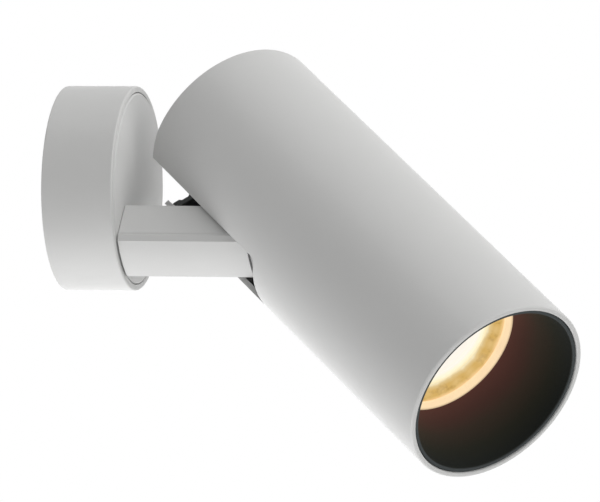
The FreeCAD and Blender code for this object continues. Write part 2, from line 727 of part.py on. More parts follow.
def tube_screw_rods(radius, length):
    """Two rods across the tube's wall at the heat sink's front plate, outward from the screws' inner ends."""
    rods = []
    for turn in (0, size["tube_screw_pitch"]):
        item = rod(radius, length, ("0", "0", "sink_end - sink_plate / 2"))
        angle = size["tube_screw_angle"] + turn
        across = FreeCAD.Vector(math.cos(math.radians(angle)), math.sin(math.radians(angle)), 0)
        item.Placement.Rotation = FreeCAD.Rotation(FreeCAD.Vector(0, 0, 1), across)
        outward = "(Sizes.head_radius - Sizes.screw_sunk - Sizes.tube_screw_length)"
        item.setExpression("Placement.Base.x", f"{outward} * cos({angle})")
        item.setExpression("Placement.Base.y", f"{outward} * sin({angle})")
        rods.append(item)
    return rods


def tube_screws():
    """Grub screws that hold the heat sink in the tube."""
    return group(*tube_screw_rods("tube_screw_radius", "tube_screw_length"))


def rear_cap():
    """Cap inside the tube's rear end, notched for the arm."""
    disc = turned([
        ("0", "cap_depth"),
        ("fitted_radius - edge_chamfer", "cap_depth"),
        ("fitted_radius", "cap_depth + edge_chamfer"),
        ("fitted_radius", "cap_depth + cap_thickness"),
        ("0", "cap_depth + cap_thickness"),
    ])
    notch = block(
        ("notch_floor", "0 - slot_half", "cap_depth"),
        ("head_radius", "slot_half * 2", "cap_thickness"),
    )
    holes = [rod("cap_screw_radius", "cap_thickness", (x, y, "cap_depth"))
             for x, y in cap_screw_places()]
    return cut(disc, notch, *holes)


def cap_screw_places():
    """Two screws into the driver case."""
    return [("0 - cap_screw_place", y) for y in ("0 - cap_screw_place", "cap_screw_place")]


def cap_screws():
    """Pan head screws in the cap."""
    screws = []
    for x, y in cap_screw_places():
        shank = rod("cap_screw_radius", "cap_thickness", (x, y, "cap_depth"))
        head = rod("cap_head_radius", "cap_head_height", (x, y, "cap_depth - cap_head_height"))
        socket = hexagon("socket_corner", "socket_depth", (x, y, "cap_depth - cap_head_height"))
        screws.append(cut(join(shank, head), socket))
    return group(*screws)


def driver_case():
    """Closed plastic case of the driver, against the cap."""
    case = block(
        ("driver_top - driver_height", "0 - driver_width / 2", "cap_depth + cap_thickness"),
        ("driver_height", "driver_width", "driver_length"),
    )
    return rounded(case, "arm_edge", long_edge)


def hinge_bracket():
    """Two cheeks and a web that carry the head on the hinge pin."""
    reach = ("bracket_top - hinge_offset + cheek_radius", "cheek_thickness",
             "bracket_reach + bracket_web / 2")
    cheeks = []
    for y in ("cheek_inside", "0 - cheek_outside"):
        cheeks.append(join(
            block(("hinge_offset - cheek_radius", y, "hinge_station"), reach),
            rod("cheek_radius", "cheek_thickness", ("hinge_offset", y, "hinge_station"), ALONG_Y),
        ))
    web = block(
        ("0 - bracket_foot", "0 - cheek_outside", "web_start"),
        ("bracket_foot + bracket_top", "cheek_outside * 2", "bracket_web"),
    )
    pin_hole = rod("pin_radius", "cheek_outside * 2",
                   ("hinge_offset", "0 - cheek_outside", "hinge_station"), ALONG_Y)
    holes = [rod("bracket_screw_radius", "bracket_web", (x, y, "web_start"))
             for x, y in bracket_screw_places()]
    return cut(join(web, *cheeks), pin_hole, *holes)


def bracket_screw_places():
    """Two screws through the web into the heat sink's core."""
    return [("0 - bracket_screw_back", y) for y in ("0 - bracket_screw_side", "bracket_screw_side")]


def bracket_screws():
    """Pan head screws of the hinge bracket."""
    screws = []
    for x, y in bracket_screw_places():
        shank = rod("bracket_screw_radius", "bracket_web + bracket_screw_depth", (x, y, "web_start"))
        head = rod("bracket_screw_head", "bracket_head_height", (x, y, "web_start - bracket_head_height"))
        socket = hexagon("socket_corner", "socket_depth", (x, y, "web_start - bracket_head_height"))
        screws.append(cut(join(shank, head), socket))
    return group(*screws)


def hinge_pin():
    """Shoulder screw through the cheeks and the arm's eye."""
    shank = rod("pin_radius", "cheek_outside * 2 + hinge_nut_height",
                ("hinge_offset", "0 - cheek_outside", "hinge_station"), ALONG_Y)
    head = rod("pin_head_radius", "pin_head_height",
               ("hinge_offset", "0 - cheek_outside - pin_head_height", "hinge_station"), ALONG_Y)
    socket = hexagon("pin_socket_corner", "socket_depth",
                     ("hinge_offset", "0 - cheek_outside - pin_head_height", "hinge_station"), ALONG_Y)
    return cut(join(shank, head), socket)


def hinge_nut():
    """Locking nut that sets the hinge's friction."""
    at = ("hinge_offset", "cheek_outside", "hinge_station")
    nut = hexagon("hinge_nut_corner", "hinge_nut_height", at, ALONG_Y)
    return cut(nut, rod("pin_radius", "hinge_nut_height", at, ALONG_Y))


def heat_sink():
    """Turned core with two cooling fins between its end plates."""
    outline = [("0", "sink_start")]
    station = "sink_start"
    for thickness in ("sink_plate", "fin_thickness", "fin_thickness", "sink_plate"):
        if station != "sink_start":
            outline.append(("sink_core", station))
        outline.append(("fitted_radius", station))
        station = f"{station} + {thickness}"
        outline.append(("fitted_radius", station))
        if thickness != "sink_plate" or len(outline) < 4:
            outline.append(("sink_core", station))
            station = f"{station} + fin_gap"
    outline.append(("0", station))
    holes = [rod("bracket_screw_radius", "bracket_screw_depth", (x, y, "sink_start"))
             for x, y in bracket_screw_places()]
    return cut(turned(outline), *holes, *tube_screw_rods("tube_screw_radius", "tube_screw_length"))


def led_board():
    """Metal-core circuit board."""
    board = rod("board_radius", "board_thickness", ("0", "0", "sink_end"))
    notches = [
        rod("board_notch", "board_thickness", ("0", y, "sink_end"))
        for y in ("0 - board_radius", "board_radius")
    ]
    return cut(board, *notches)


def led_chip():
    """Ceramic square with its round glowing face."""
    side = "chip_side"
    ceramic = block(("0 - chip_side / 2", "0 - chip_side / 2", "board_end"), (side, side, "chip_thickness"))
    face = rod("emitter_radius", "emitter_height * 2",
               ("0", "0", "board_end + chip_thickness - emitter_height"))
    return join(ceramic, face)


def led_holder():
    """Plastic ring that presses the light source on its board."""
    return turned([
        ("holder_bore", "board_end + chip_thickness + holder_gap"),
        ("holder_bore + holder_ledge", "board_end + chip_thickness + holder_gap"),
        ("holder_bore + holder_ledge", "board_end"),
        ("holder_radius", "board_end"),
        ("holder_radius", "holder_end - edge_chamfer"),
        ("holder_radius - edge_chamfer", "holder_end"),
        ("holder_bore", "holder_end"),
    ])


def reflector():
    """Flared collar: the lens sits at its waist and its ribbed band glows round it."""
    return turned([
        ("reflector_throat", "holder_end"),
        ("reflector_throat + reflector_wall", "holder_end"),
        ("reflector_waist + reflector_wall", "waist_station - lens_thickness"),
        ("reflector_mouth + reflector_wall", "ring_start - reflector_rim"),
        ("reflector_mouth + reflector_wall", "ring_start"),
        ("reflector_mouth", "ring_start"),
        ("reflector_waist", "waist_station"),
        ("reflector_waist", "waist_station - lens_thickness"),
        ("reflector_waist - lens_seat", "waist_station - lens_thickness"),
    ])


def lens():
    """Crowned lens on the reflector's seat."""
    outline = [
        ("0", "waist_station - lens_thickness"),
        ("reflector_waist - lens_clearance", "waist_station - lens_thickness"),
        ("reflector_waist - lens_clearance", "waist_station"),
    ]
    for part in (0.75, 0.5, 0.25):
        outline.append((f"reflector_waist * {part}", f"waist_station + lens_crown * {1 - part ** 2}"))
    return turned(outline + [("0", "waist_station + lens_crown")])


def lens_ring():
    """Ring between the reflector's mouth and the black cone."""
    return turned([
        ("reflector_mouth - lens_ring_lip", "ring_start"),
        ("fitted_radius", "ring_start"),
        ("fitted_radius", "mouth_start"),
        ("reflector_mouth + lens_ring_edge", "mouth_start"),
        ("reflector_mouth - lens_ring_lip", "ring_start + lens_ring_lip_height"),
    ])


def baffle():
    """Black cone against glare, from the ring to the tube's mouth."""
    return turned([
        ("baffle_inner", "mouth_start"),
        ("baffle_inner + baffle_wall", "mouth_start"),
        ("fitted_radius", "head_length - baffle_recess - baffle_rim"),
        ("fitted_radius", "head_length - baffle_recess"),
        ("fitted_radius - baffle_wall / 2", "head_length - baffle_recess"),
    ])


BASE_PIECES = [
    base_housing, mounting_plate, cable_bush, terminal_block, terminal_screws, earth_screw,
    housing_grub_screws, pan_stop_pin, swivel_disc, pan_nipple, pan_wave_washer, pan_nut, arm_screws,
    arm_bar, arm_cover, arm_clamp_screw, lead_boot, hinge_lead, hinge_washers,
]
HEAD_PIECES = [
    head_tube, tube_screws, rear_cap, cap_screws, driver_case, hinge_bracket, bracket_screws, hinge_pin,
    hinge_nut, heat_sink, led_board, led_chip, led_holder, reflector, lens, lens_ring, baffle,
]


def base_frame():
    """Carries the base frame, whose z points down, to the part's own frame."""
    return FreeCAD.Placement(FreeCAD.Vector(), FreeCAD.Rotation(FreeCAD.Vector(1, 0, 0), 180))


def head_frame():
    """Carries the head frame to the part's own frame, turned about the hinge axis by the tilt."""
    hinge = FreeCAD.Vector(size["hinge_offset"], 0, size["hinge_depth"])
    in_head = FreeCAD.Vector(size["hinge_offset"], 0, size["hinge_station"])
    turn = FreeCAD.Rotation(FreeCAD.Vector(0, 1, 0), size["tilt"])
    tilted = FreeCAD.Placement(hinge - turn.multVec(in_head), turn)
    return base_frame().multiply(tilted)


def make_pieces():
    """Builds every sub-part and sets its label and its place."""
    pieces = []
    for makers, frame in ((BASE_PIECES, base_frame()), (HEAD_PIECES, head_frame())):
        for maker in makers:
            piece = maker()
            piece.Label = maker.__name__
            piece.Placement = frame
            pieces.append(piece)
    return pieces


def check_and_export(pieces):
    """Stops on any failed object or bad solid, then writes one STEP file for each sub-part."""
    doc.recompute()
    for item in doc.Objects:
        if "Invalid" in item.State or "Error" in item.State:
            raise RuntimeError(f"{item.Label} ({item.Name}) failed: {item.State}")
    for piece in pieces:
        if piece.Shape.isNull() or not piece.Shape.isValid() or not piece.Shape.Solids:
            raise RuntimeError(f"{piece.Label} has no valid solid")
    os.makedirs("parts", exist_ok=True)
    for piece in pieces:
        piece.Shape.exportStep(os.path.join("parts", piece.Label + ".step"))
        box = piece.Shape.BoundBox
        print(f"{piece.Label:22s} solids {len(piece.Shape.Solids)}  volume {piece.Shape.Volume:9.1f}"
              f"  x {box.XMin:.1f}..{box.XMax:.1f}  y {box.YMin:.1f}..{box.YMax:.1f}"
              f"  z {box.ZMin:.1f}..{box.ZMax:.1f}")


fill_sheet()
check_and_export(make_pieces())
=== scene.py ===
"""Looks of a surface mounted ceiling spotlight: detailed shells, finishes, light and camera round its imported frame.

Lengths in the modelling code are millimetres unless a name or a property says otherwise. Pieces of the base and
the arm are modelled with z running down from the ceiling, and pieces of the head with z running from the tube's
rear edge to its mouth. BASE and HEAD carry them to the frame's own axes.
"""

import json
import math

import bpy
from mathutils import Matrix, Vector


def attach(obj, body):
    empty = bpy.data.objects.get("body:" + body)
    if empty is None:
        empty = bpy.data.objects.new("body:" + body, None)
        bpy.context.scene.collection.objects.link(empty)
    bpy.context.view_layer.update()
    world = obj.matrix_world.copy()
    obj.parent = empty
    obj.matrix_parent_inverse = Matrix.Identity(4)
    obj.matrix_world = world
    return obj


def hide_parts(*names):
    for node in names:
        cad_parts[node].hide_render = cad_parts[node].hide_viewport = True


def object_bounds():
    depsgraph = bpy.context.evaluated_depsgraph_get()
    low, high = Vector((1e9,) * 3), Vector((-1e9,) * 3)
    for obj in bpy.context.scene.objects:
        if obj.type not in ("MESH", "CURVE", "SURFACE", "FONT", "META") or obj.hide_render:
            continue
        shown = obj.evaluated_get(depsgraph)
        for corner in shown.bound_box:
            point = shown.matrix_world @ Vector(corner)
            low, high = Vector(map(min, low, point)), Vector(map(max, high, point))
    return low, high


bl_info = {
    "name": "Ceiling spotlight",
    "version": (1, 0, 0),
    "blender": (4, 5, 0),
    "location": "3D View > Sidebar > Spotlight",
    "description": "Builds the shells, finishes and stage of a surface mounted ceiling spotlight",
    "category": "Object",
}

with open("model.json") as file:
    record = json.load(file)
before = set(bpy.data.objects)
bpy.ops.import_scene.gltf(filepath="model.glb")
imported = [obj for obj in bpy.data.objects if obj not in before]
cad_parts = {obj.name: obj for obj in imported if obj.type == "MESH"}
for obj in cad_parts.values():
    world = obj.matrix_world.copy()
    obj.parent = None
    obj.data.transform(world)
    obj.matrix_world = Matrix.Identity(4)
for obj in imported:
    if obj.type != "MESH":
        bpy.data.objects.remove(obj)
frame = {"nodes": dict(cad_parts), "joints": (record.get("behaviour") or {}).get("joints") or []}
CAD_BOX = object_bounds()

MM = 0.001
HINGE = next(j for j in frame["joints"] if j["name"] == "head_tilt")
TILT = -math.radians(HINGE["range_deg"][0])
HINGE_X = HINGE["pos_m"][0] / MM
HINGE_DEPTH = -HINGE["pos_m"][2] / MM
HINGE_STATION = 38.0
BASE = Matrix.Rotation(math.pi, 4, "X")
HEAD = (
    BASE
    @ Matrix.Translation(Vector((HINGE_X, 0, HINGE_DEPTH)) * MM)
    @ Matrix.Rotation(TILT, 4, "Y")
    @ Matrix.Translation(Vector((-HINGE_X, 0, -HINGE_STATION)) * MM)
)

# sizes of the frame's own parts, which the pieces here stand for
BASE_RADIUS = CAD_BOX[1][1] / MM
BASE_DEPTH = 21.5
RIM_DEPTH = 21.2
HOUSING_BORE = 28.2
TUBE_RADIUS = 29.0
TUBE_BORE = 27.5
TUBE_LENGTH = 138.0
FITTED = 27.35
SLOT_HALF = 9.8
SLOT_FLOOR = 8.4
SLOT_END = 56.0
SWING_RADIUS = 38.4
ARM_BACK = 14.6
ARM_HALF = 8.6
ARM_END = 65.3
COVER_INSIDE = 27.4
COVER_START = 21.7
COVER_END = 59.9
KNUCKLE_OUTSIDE = 28.1
EYE_RADIUS = 6.4
CLAMP_DEPTH = 34.7
LEAD_X = 12.0
BOOT_START = 38.1
BOOT_END = 45.6
RING_START = 112.0
MOUTH_START = 114.0
REFLECTOR_MOUTH = 21.0
WAIST_RADIUS = 16.8
WAIST_STATION = 109.5
LENS_SEAT = 107.1
LENS_CROWN = 1.6
CAP_DEPTH = 3.0
CAP_INSIDE = 5.5
CAP_SCREW_PLACES = ((-9, -9), (-9, 9))
CAP_SCREW_BORE = 1.5
FLANGE_START = 15.5
FLANGE_END = 17.7
FLANGE_BORE = 5.06
HINGE_BORE = 2.56
SCREW_HOLE = 1.56
HOUSING_SCREW_ANGLES = (45, 225)
HOUSING_SCREW_DEPTH = 7.0
TUBE_SCREW_ANGLES = (100, 175)
TUBE_SCREW_STATION = 78.0
COLLAR_RADIUS = 9.6
COLLAR_START = 86.0
REFLECTOR_WALL = 0.9
CONE_END = 137.5
PHOSPHOR_RADIUS = 5.0

# how far cutting tools reach, how round their holes are, and how every piece is smoothed
PAST_TUBE = 45
DRILL_END = 32
HOLE_SEGMENTS = 32
SMOOTH_ANGLE = math.radians(32)
FACE_WEIGHT = 60


# ------------------------------------------------------------------ sizes and colours that a user may change


class SpotlightSizes(bpy.types.PropertyGroup):
    segments: bpy.props.IntProperty(
        name="Round segments", description="Sides of every turned piece", default=96, min=24)
    base_edge: bpy.props.FloatProperty(
        name="Base edge", description="Rounding of the base's rim", default=0.0006, unit="LENGTH")
    tube_edge: bpy.props.FloatProperty(
        name="Tube edge", description="Rounding of the tube's ends", default=0.0007, unit="LENGTH")
    arm_edge: bpy.props.FloatProperty(
        name="Arm edge", description="Rounding of the arm's edges", default=0.0005, unit="LENGTH")
    cover_chamfer: bpy.props.FloatProperty(
        name="Cover chamfer", description="Flat along each long edge of the arm's cover", default=0.0011,
        unit="LENGTH")
    reflector_ribs: bpy.props.IntProperty(
        name="Reflector ribs", description="Flutes round the golden band", default=24, min=6)
    boot_ribs: bpy.props.IntProperty(
        name="Boot ribs", description="Rings on the lead's rubber boot", default=4, min=1)


class SpotlightColours(bpy.types.PropertyGroup):
    powder: bpy.props.FloatVectorProperty(
        name="Powder coat", description="Matt white coat of the shells", subtype="COLOR", size=3,
        default=(0.64, 0.64, 0.635))
    zinc: bpy.props.FloatVectorProperty(
        name="Zinc", description="Plated steel of plate, screws and hinge", subtype="COLOR", size=3,
        default=(0.46, 0.47, 0.48))
    plastic: bpy.props.FloatVectorProperty(
        name="Black plastic", description="Moulded cap at the tube's rear end", subtype="COLOR", size=3,
        default=(0.038, 0.044, 0.041))
    rubber: bpy.props.FloatVectorProperty(
        name="Rubber", description="Boot, lead and bush", subtype="COLOR", size=3, default=(0.05, 0.053, 0.052))
    nylon: bpy.props.FloatVectorProperty(
        name="Nylon", description="Terminal block, washers and holder", subtype="COLOR", size=3,
        default=(0.72, 0.71, 0.67))
    brass: bpy.props.FloatVectorProperty(
        name="Brass", description="Terminal screws", subtype="COLOR", size=3, default=(0.72, 0.53, 0.25))
    case: bpy.props.FloatVectorProperty(
        name="Driver case", description="Moulded case of the driver", subtype="COLOR", size=3,
        default=(0.2, 0.205, 0.21))
    aluminium: bpy.props.FloatVectorProperty(
        name="Aluminium", description="Turned heat sink and circuit board", subtype="COLOR", size=3,
        default=(0.66, 0.67, 0.68))
    gold: bpy.props.FloatVectorProperty(
        name="Golden band", description="Lit reflector round the lens", subtype="COLOR", size=3,
        default=(0.66, 0.42, 0.12))
    glow: bpy.props.FloatVectorProperty(
        name="Lens glow", description="Lit lens", subtype="COLOR", size=3, default=(1.0, 0.94, 0.84))
    trim: bpy.props.FloatVectorProperty(
        name="Trim ring", description="Pale ring round the golden band", subtype="COLOR", size=3,
        default=(1.0, 0.74, 0.46))
    black: bpy.props.FloatVectorProperty(
        name="Black paint", description="Cone against glare", subtype="COLOR", size=3,
        default=(0.009, 0.0115, 0.0105))


class SpotlightStage(bpy.types.PropertyGroup):
    focal_length: bpy.props.FloatProperty(
        name="Focal length", description="Camera's lens on a 36 mm sensor", default=395.6, unit="CAMERA")
    daylight: bpy.props.FloatProperty(
        name="World light", description="Level of the even light from all round", default=0.4)
    arm_side: bpy.props.FloatProperty(
        name="Arm side lamp", description="Strength of the soft lamp on the arm's side", default=2.05)
    near_side: bpy.props.FloatProperty(
        name="Near side lamp", description="Strength of the soft lamp below, on the camera's side", default=1.55)
    rear_side: bpy.props.FloatProperty(
        name="Rear side lamp", description="Strength of the soft lamp behind the head", default=0.75)
    lamp_spread: bpy.props.FloatProperty(
        name="Lamp spread", description="Angle that each soft lamp fills", default=math.radians(60),
        subtype="ANGLE")


def sizes():
    return bpy.context.scene.spotlight_sizes


def colours():
    return bpy.context.scene.spotlight_colours


# ------------------------------------------------------------------ shader maths


class Value:
    """A shader socket: maths on it adds Math nodes."""

    def __init__(self, finish, socket):
        self.finish, self.socket = finish, socket

    def maths(self, operation, *values):
        inputs = dict(enumerate((self, *values)))
        return self.finish.node("Math", {"operation": operation}, inputs)

    def __add__(self, other):
        return self.maths("ADD", other)

    __radd__ = __add__

    def __mul__(self, other):
        return self.maths("MULTIPLY", other)

    __rmul__ = __mul__

    def __sub__(self, other):
        return self.maths("SUBTRACT", other)

    def __rsub__(self, other):
        return self * -1 + other

    def __truediv__(self, other):
        return self.maths("DIVIDE", other)

    def __pow__(self, other):
        return self.maths("POWER", other)

    def __abs__(self):
        return self.maths("ABSOLUTE")


class Finish:
    """A material with one principled surface, and the nodes that feed it."""

    def __init__(self, name):
        self.material = bpy.data.materials.new(name)
        self.material.use_nodes = True
        self.tree = self.material.node_tree
        self.tree.nodes.clear()

    def node(self, kind, settings=None, inputs=None, output=0):
        """Adds a node by its type, sets its settings and then its inputs, and gives one of its outputs."""
        node = self.tree.nodes.new("ShaderNode" + kind)
        for name, value in (settings or {}).items():
            if name == "stops":
                ramp = node.color_ramp
                while len(ramp.elements) < len(value):
                    ramp.elements.new(0.5)
                for element, (place, colour) in zip(ramp.elements, value):
                    element.position, element.color = place, (*colour, 1)
            else:
                setattr(node, name, value)
        for name, value in (inputs or {}).items():
            if isinstance(value, Value):
                self.tree.links.new(value.socket, node.inputs[name])
            else:
                node.inputs[name].default_value = value
        return Value(self, node.outputs[output])

    def place(self, matrix=None):
        """Object coordinates, or those of a part's own frame."""
        place = self.node("TexCoord", output="Object")
        if matrix is None:
            return place
        inverse = matrix.inverted()
        return self.node("Mapping", {}, {
            "Vector": place, "Location": inverse.to_translation(), "Rotation": inverse.to_euler(),
        })

    def axes(self, place):
        """The three coordinates of a place."""
        first = self.node("SeparateXYZ", {}, {"Vector": place})
        node = first.socket.node
        return [Value(self, socket) for socket in node.outputs]

    def noise(self, place, scale, detail=2.0, roughness=0.5):
        return self.node("TexNoise", {}, {
            "Vector": place, "Scale": scale, "Detail": detail, "Roughness": roughness,
        })

    def ramp(self, value, *stops):
        return self.node("ValToRGB", {"stops": stops}, {"Fac": value})

    def blend(self, share, first, second):
        """A colour between two colours."""
        return self.node("Mix", {"data_type": "RGBA"}, {
            "Factor": share, 6: first if isinstance(first, Value) else (*first, 1),
            7: second if isinstance(second, Value) else (*second, 1),
        }, output=2)

    def bump(self, height, depth, strength=1.0):
        return self.node("Bump", {}, {"Height": height, "Distance": depth, "Strength": strength})

    def surface(self, **inputs):
        """The principled surface, from sockets or plain numbers, and the material's output."""
        named = {name.replace("_", " "): value for name, value in inputs.items()}
        for name in ("Base Color", "Emission Color"):
            if name in named and not isinstance(named[name], Value):
                named[name] = (*named[name], 1)
        shader = self.node("BsdfPrincipled", {}, named)
        out = self.tree.nodes.new("ShaderNodeOutputMaterial")
        self.tree.links.new(shader.socket, out.inputs["Surface"])
        return self.material


def shade(colour, factor):
    """A lighter or darker version of a colour."""
    return tuple(min(1.0, channel * factor) for channel in colour)


def from_axis(x, y):
    """Distance from the z axis."""
    return (x * x + y * y) ** 0.5


def clamped(value):
    """A value held between 0 and 1."""
    return value.maths("MINIMUM", 1.0).maths("MAXIMUM", 0.0)


# ------------------------------------------------------------------ finishes


def powder_coat():
    """Matt white powder coat: orange peel, faint cloudiness and a slightly uneven sheen."""
    finish = Finish("powder_coat")
    place = finish.place()
    cloud = finish.noise(place, 32.0, 3.0)
    grain = finish.noise(place, 1900.0, 2.0)
    dust = finish.noise(place, 420.0, 1.0)
    coat = colours().powder
    colour = finish.blend(cloud, shade(coat, 0.975), shade(coat, 1.02))
    colour = finish.blend((dust - 0.4) * 0.25, colour, shade(coat, 1.03))
    return finish.surface(
        Base_Color=colour, Roughness=0.5 + 0.16 * (dust - 0.5), Specular_IOR_Level=0.35,
        Normal=finish.bump(grain + dust * 0.8, 0.000035, 0.6),
    )


def zinc_plate():
    """Zinc plated steel: fine spangle, brushed sheen."""
    finish = Finish("zinc_plate")
    place = finish.place()
    spangle = finish.node("TexVoronoi", {}, {"Vector": place, "Scale": 420.0}, output="Color")
    tone = finish.node("RGBToBW", {}, {"Color": spangle})
    brushed = finish.noise(finish.node("Mapping", {}, {"Vector": place, "Scale": (260, 5200, 2600)}), 1.0, 2.0)
    stain = finish.noise(place, 55.0, 3.0)
    metal = colours().zinc
    colour = finish.blend(tone, shade(metal, 0.86), shade(metal, 1.1))
    colour = finish.blend(stain * 0.35, colour, (metal[0] * 0.95, metal[1] * 0.9, metal[2] * 0.76))
    return finish.surface(
        Base_Color=colour, Metallic=0.85, Roughness=0.52 + 0.12 * brushed + 0.06 * tone,
        Normal=finish.bump(brushed, 0.00002, 0.5),
    )


def black_plastic():
    """Black moulded plastic with a fine matt texture."""
    finish = Finish("black_plastic")
    place = finish.place()
    texture = finish.noise(place, 1700.0, 3.0, 0.6)
    rub = finish.noise(place, 85.0, 2.0)
    dark = colours().plastic
    return finish.surface(
        Base_Color=finish.blend(rub, shade(dark, 0.8), shade(dark, 1.25)), Roughness=0.52 + 0.16 * texture,
        Specular_IOR_Level=0.4, Normal=finish.bump(texture, 0.00005, 0.6),
    )


def soft_rubber():
    """Black moulded rubber, dusty on its high spots."""
    finish = Finish("soft_rubber")
    place = finish.place()
    grain = finish.noise(place, 2600.0, 3.0)
    dust = finish.noise(place, 190.0, 3.0)
    dark = colours().rubber
    return finish.surface(
        Base_Color=finish.blend(dust, shade(dark, 0.75), shade(dark, 1.5)), Roughness=0.66 + 0.2 * dust,
        Normal=finish.bump(grain, 0.00004, 0.7),
    )


def moulded_nylon():
    """Milky nylon with flow marks."""
    finish = Finish("moulded_nylon")
    place = finish.place()
    flow = finish.noise(place, 90.0, 2.0)
    grain = finish.noise(place, 1500.0, 2.0)
    milk = colours().nylon
    return finish.surface(
        Base_Color=finish.blend(flow, shade(milk, 0.94), shade(milk, 1.05)), Roughness=0.38 + 0.12 * flow,
        Normal=finish.bump(grain, 0.00002, 0.5),
    )


def turned_brass():
    """Brass with faint tool marks and tarnish."""
    finish = Finish("turned_brass")
    place = finish.place()
    tarnish = finish.noise(place, 260.0, 3.0)
    marks = finish.noise(place, 3200.0, 1.0)
    metal = colours().brass
    return finish.surface(
        Base_Color=finish.blend(tarnish, shade(metal, 0.72), shade(metal, 1.1)), Metallic=1.0,
        Roughness=0.25 + 0.2 * tarnish, Normal=finish.bump(marks, 0.00002, 0.5),
    )


def moulded_case():
    """Dark moulded plastic with a spark-eroded texture."""
    finish = Finish("moulded_case")
    place = finish.place()
    texture = finish.noise(place, 1400.0, 3.0, 0.6)
    rub = finish.noise(place, 70.0, 2.0)
    dark = colours().case
    return finish.surface(
        Base_Color=finish.blend(rub, shade(dark, 0.86), shade(dark, 1.16)), Roughness=0.5 + 0.15 * texture,
        Normal=finish.bump(texture, 0.00008, 0.6),
    )


def turned_aluminium():
    """Turned aluminium: tool marks run round the tube's axis."""
    finish = Finish("turned_aluminium")
    place = finish.place(HEAD)
    x, y, z = finish.axes(place)
    radius = from_axis(x, y)
    marks = (radius * 9000.0 + z * 7000.0).maths("SINE") * 0.5 + 0.5
    stain = finish.noise(place, 120.0, 3.0)
    metal = colours().aluminium
    return finish.surface(
        Base_Color=finish.blend(stain, shade(metal, 0.88), shade(metal, 1.06)), Metallic=1.0,
        Roughness=0.3 + 0.12 * stain + 0.05 * marks, Normal=finish.bump(marks, 0.00003, 0.6),
    )


def phosphor():
    """Yellow phosphor face on its white ceramic."""
    finish = Finish("phosphor")
    x, y, _ = finish.axes(finish.place(HEAD))
    radius = from_axis(x, y)
    face = radius.maths("LESS_THAN", PHOSPHOR_RADIUS * MM)
    grain = finish.noise(finish.place(), 3000.0, 2.0)
    colour = finish.blend(face, (0.8, 0.79, 0.76), (0.86, 0.62, 0.12))
    return finish.surface(
        Base_Color=colour, Roughness=0.55 + 0.15 * grain, Emission_Color=finish.blend(face, (0, 0, 0), (1, 0.8, 0.45)),
        Emission_Strength=2.0, Normal=finish.bump(grain, 0.00002, 0.4),
    )


def golden_band():
    """Lit reflector: golden, paler at both edges, with darker flecks and ribs in the moulding. Its whole colour is
    emitted, so its golden glow is painted light, and its paler edges and lighter ribs are painted highlights.
    """
    finish = Finish("golden_band")
    place = finish.place(HEAD)
    x, y, _ = finish.axes(place)
    turn = y.maths("ARCTAN2", x)
    radius = from_axis(x, y)
    reach = (radius - WAIST_RADIUS * MM) / ((REFLECTOR_MOUTH - WAIST_RADIUS) * MM)
    ribs = (turn * sizes().reflector_ribs).maths("SINE") * 0.5 + 0.5
    flecks = finish.noise(place, 420.0, 2.0, 0.6)
    blotch = finish.noise(place, 150.0, 2.0)
    gold = tuple(colours().gold)
    # painted light: the band glows paler towards both of its edges
    base = finish.ramp(
        reach + (blotch - 0.5) * 0.3,
        (0.0, (0.9, 0.78, 0.52)), (0.14, (0.74, 0.55, 0.26)), (0.36, gold), (0.7, gold),
        (0.86, (0.82, 0.55, 0.24)), (1.0, (0.93, 0.7, 0.4)),
    )
    dark = clamped((flecks - 0.5) * 5.0)
    middle = (1 - abs(reach - 0.5) * 2.4).maths("MAXIMUM", 0.0)
    colour = finish.blend(dark * middle * 0.8, base, (0.36, 0.2, 0.04))
    # painted highlight: a lighter colour on the ribs
    colour = finish.blend(ribs * middle * 0.3, colour, (0.88, 0.66, 0.34))
    # the colour is emitted as a painted glow; the base colour is the same colour, darkened
    return finish.surface(
        Base_Color=finish.blend(0.75, colour, (0, 0, 0)), Roughness=0.35 + 0.1 * blotch, Specular_IOR_Level=0.3,
        Emission_Color=colour, Emission_Strength=0.88, Normal=finish.bump(flecks + ribs * 0.5, 0.0002, 0.5),
    )


def lit_lens():
    """Lit lens: near white in the middle, a little warmer at its edge, with the facets of its face."""
    finish = Finish("lit_lens")
    place = finish.place(HEAD)
    x, y, _ = finish.axes(place)
    reach = from_axis(x, y) / (WAIST_RADIUS * MM)
    facets = finish.node("TexVoronoi", {}, {"Vector": place, "Scale": 480.0})
    colour = finish.ramp(
        reach + (facets - 0.5) * 0.03, (0.0, (1.0, 0.95, 0.88)), (0.8, tuple(colours().glow)),
        (0.93, (1.0, 0.93, 0.68)), (1.0, (0.95, 0.8, 0.46)),
    )
    return finish.surface(
        Base_Color=finish.blend(0.93, colour, (0, 0, 0)), Roughness=0.2 + 0.08 * facets, Emission_Color=colour,
        Emission_Strength=0.93, Normal=finish.bump(facets, 0.0003, 0.3),
    )


def trim_ring():
    """Pale ring that the lens lights from inside: this light is painted on as an emitted glow, strongest at its inner
    edge.
    """
    finish = Finish("trim_ring")
    place = finish.place(HEAD)
    x, y, _ = finish.axes(place)
    radius = from_axis(x, y)
    # painted light: mask of the emitted glow, full at the inner edge and gone 1.2 mm further out
    inner = clamped(1 - (radius - 21.3 * MM) / (1.2 * MM))
    flow = finish.noise(place, 210.0, 2.0)
    trim = colours().trim
    colour = finish.blend(flow, shade(trim, 0.92), shade(trim, 1.06))
    glow = finish.blend(inner, (0.03, 0.012, 0.008), colour)
    return finish.surface(
        Base_Color=finish.blend(0.7, colour, (0.1, 0.06, 0.04)), Roughness=0.4 + 0.1 * flow, Specular_IOR_Level=0.3,
        Emission_Color=glow, Emission_Strength=0.86, Normal=finish.bump(flow, 0.00004, 0.4),
    )


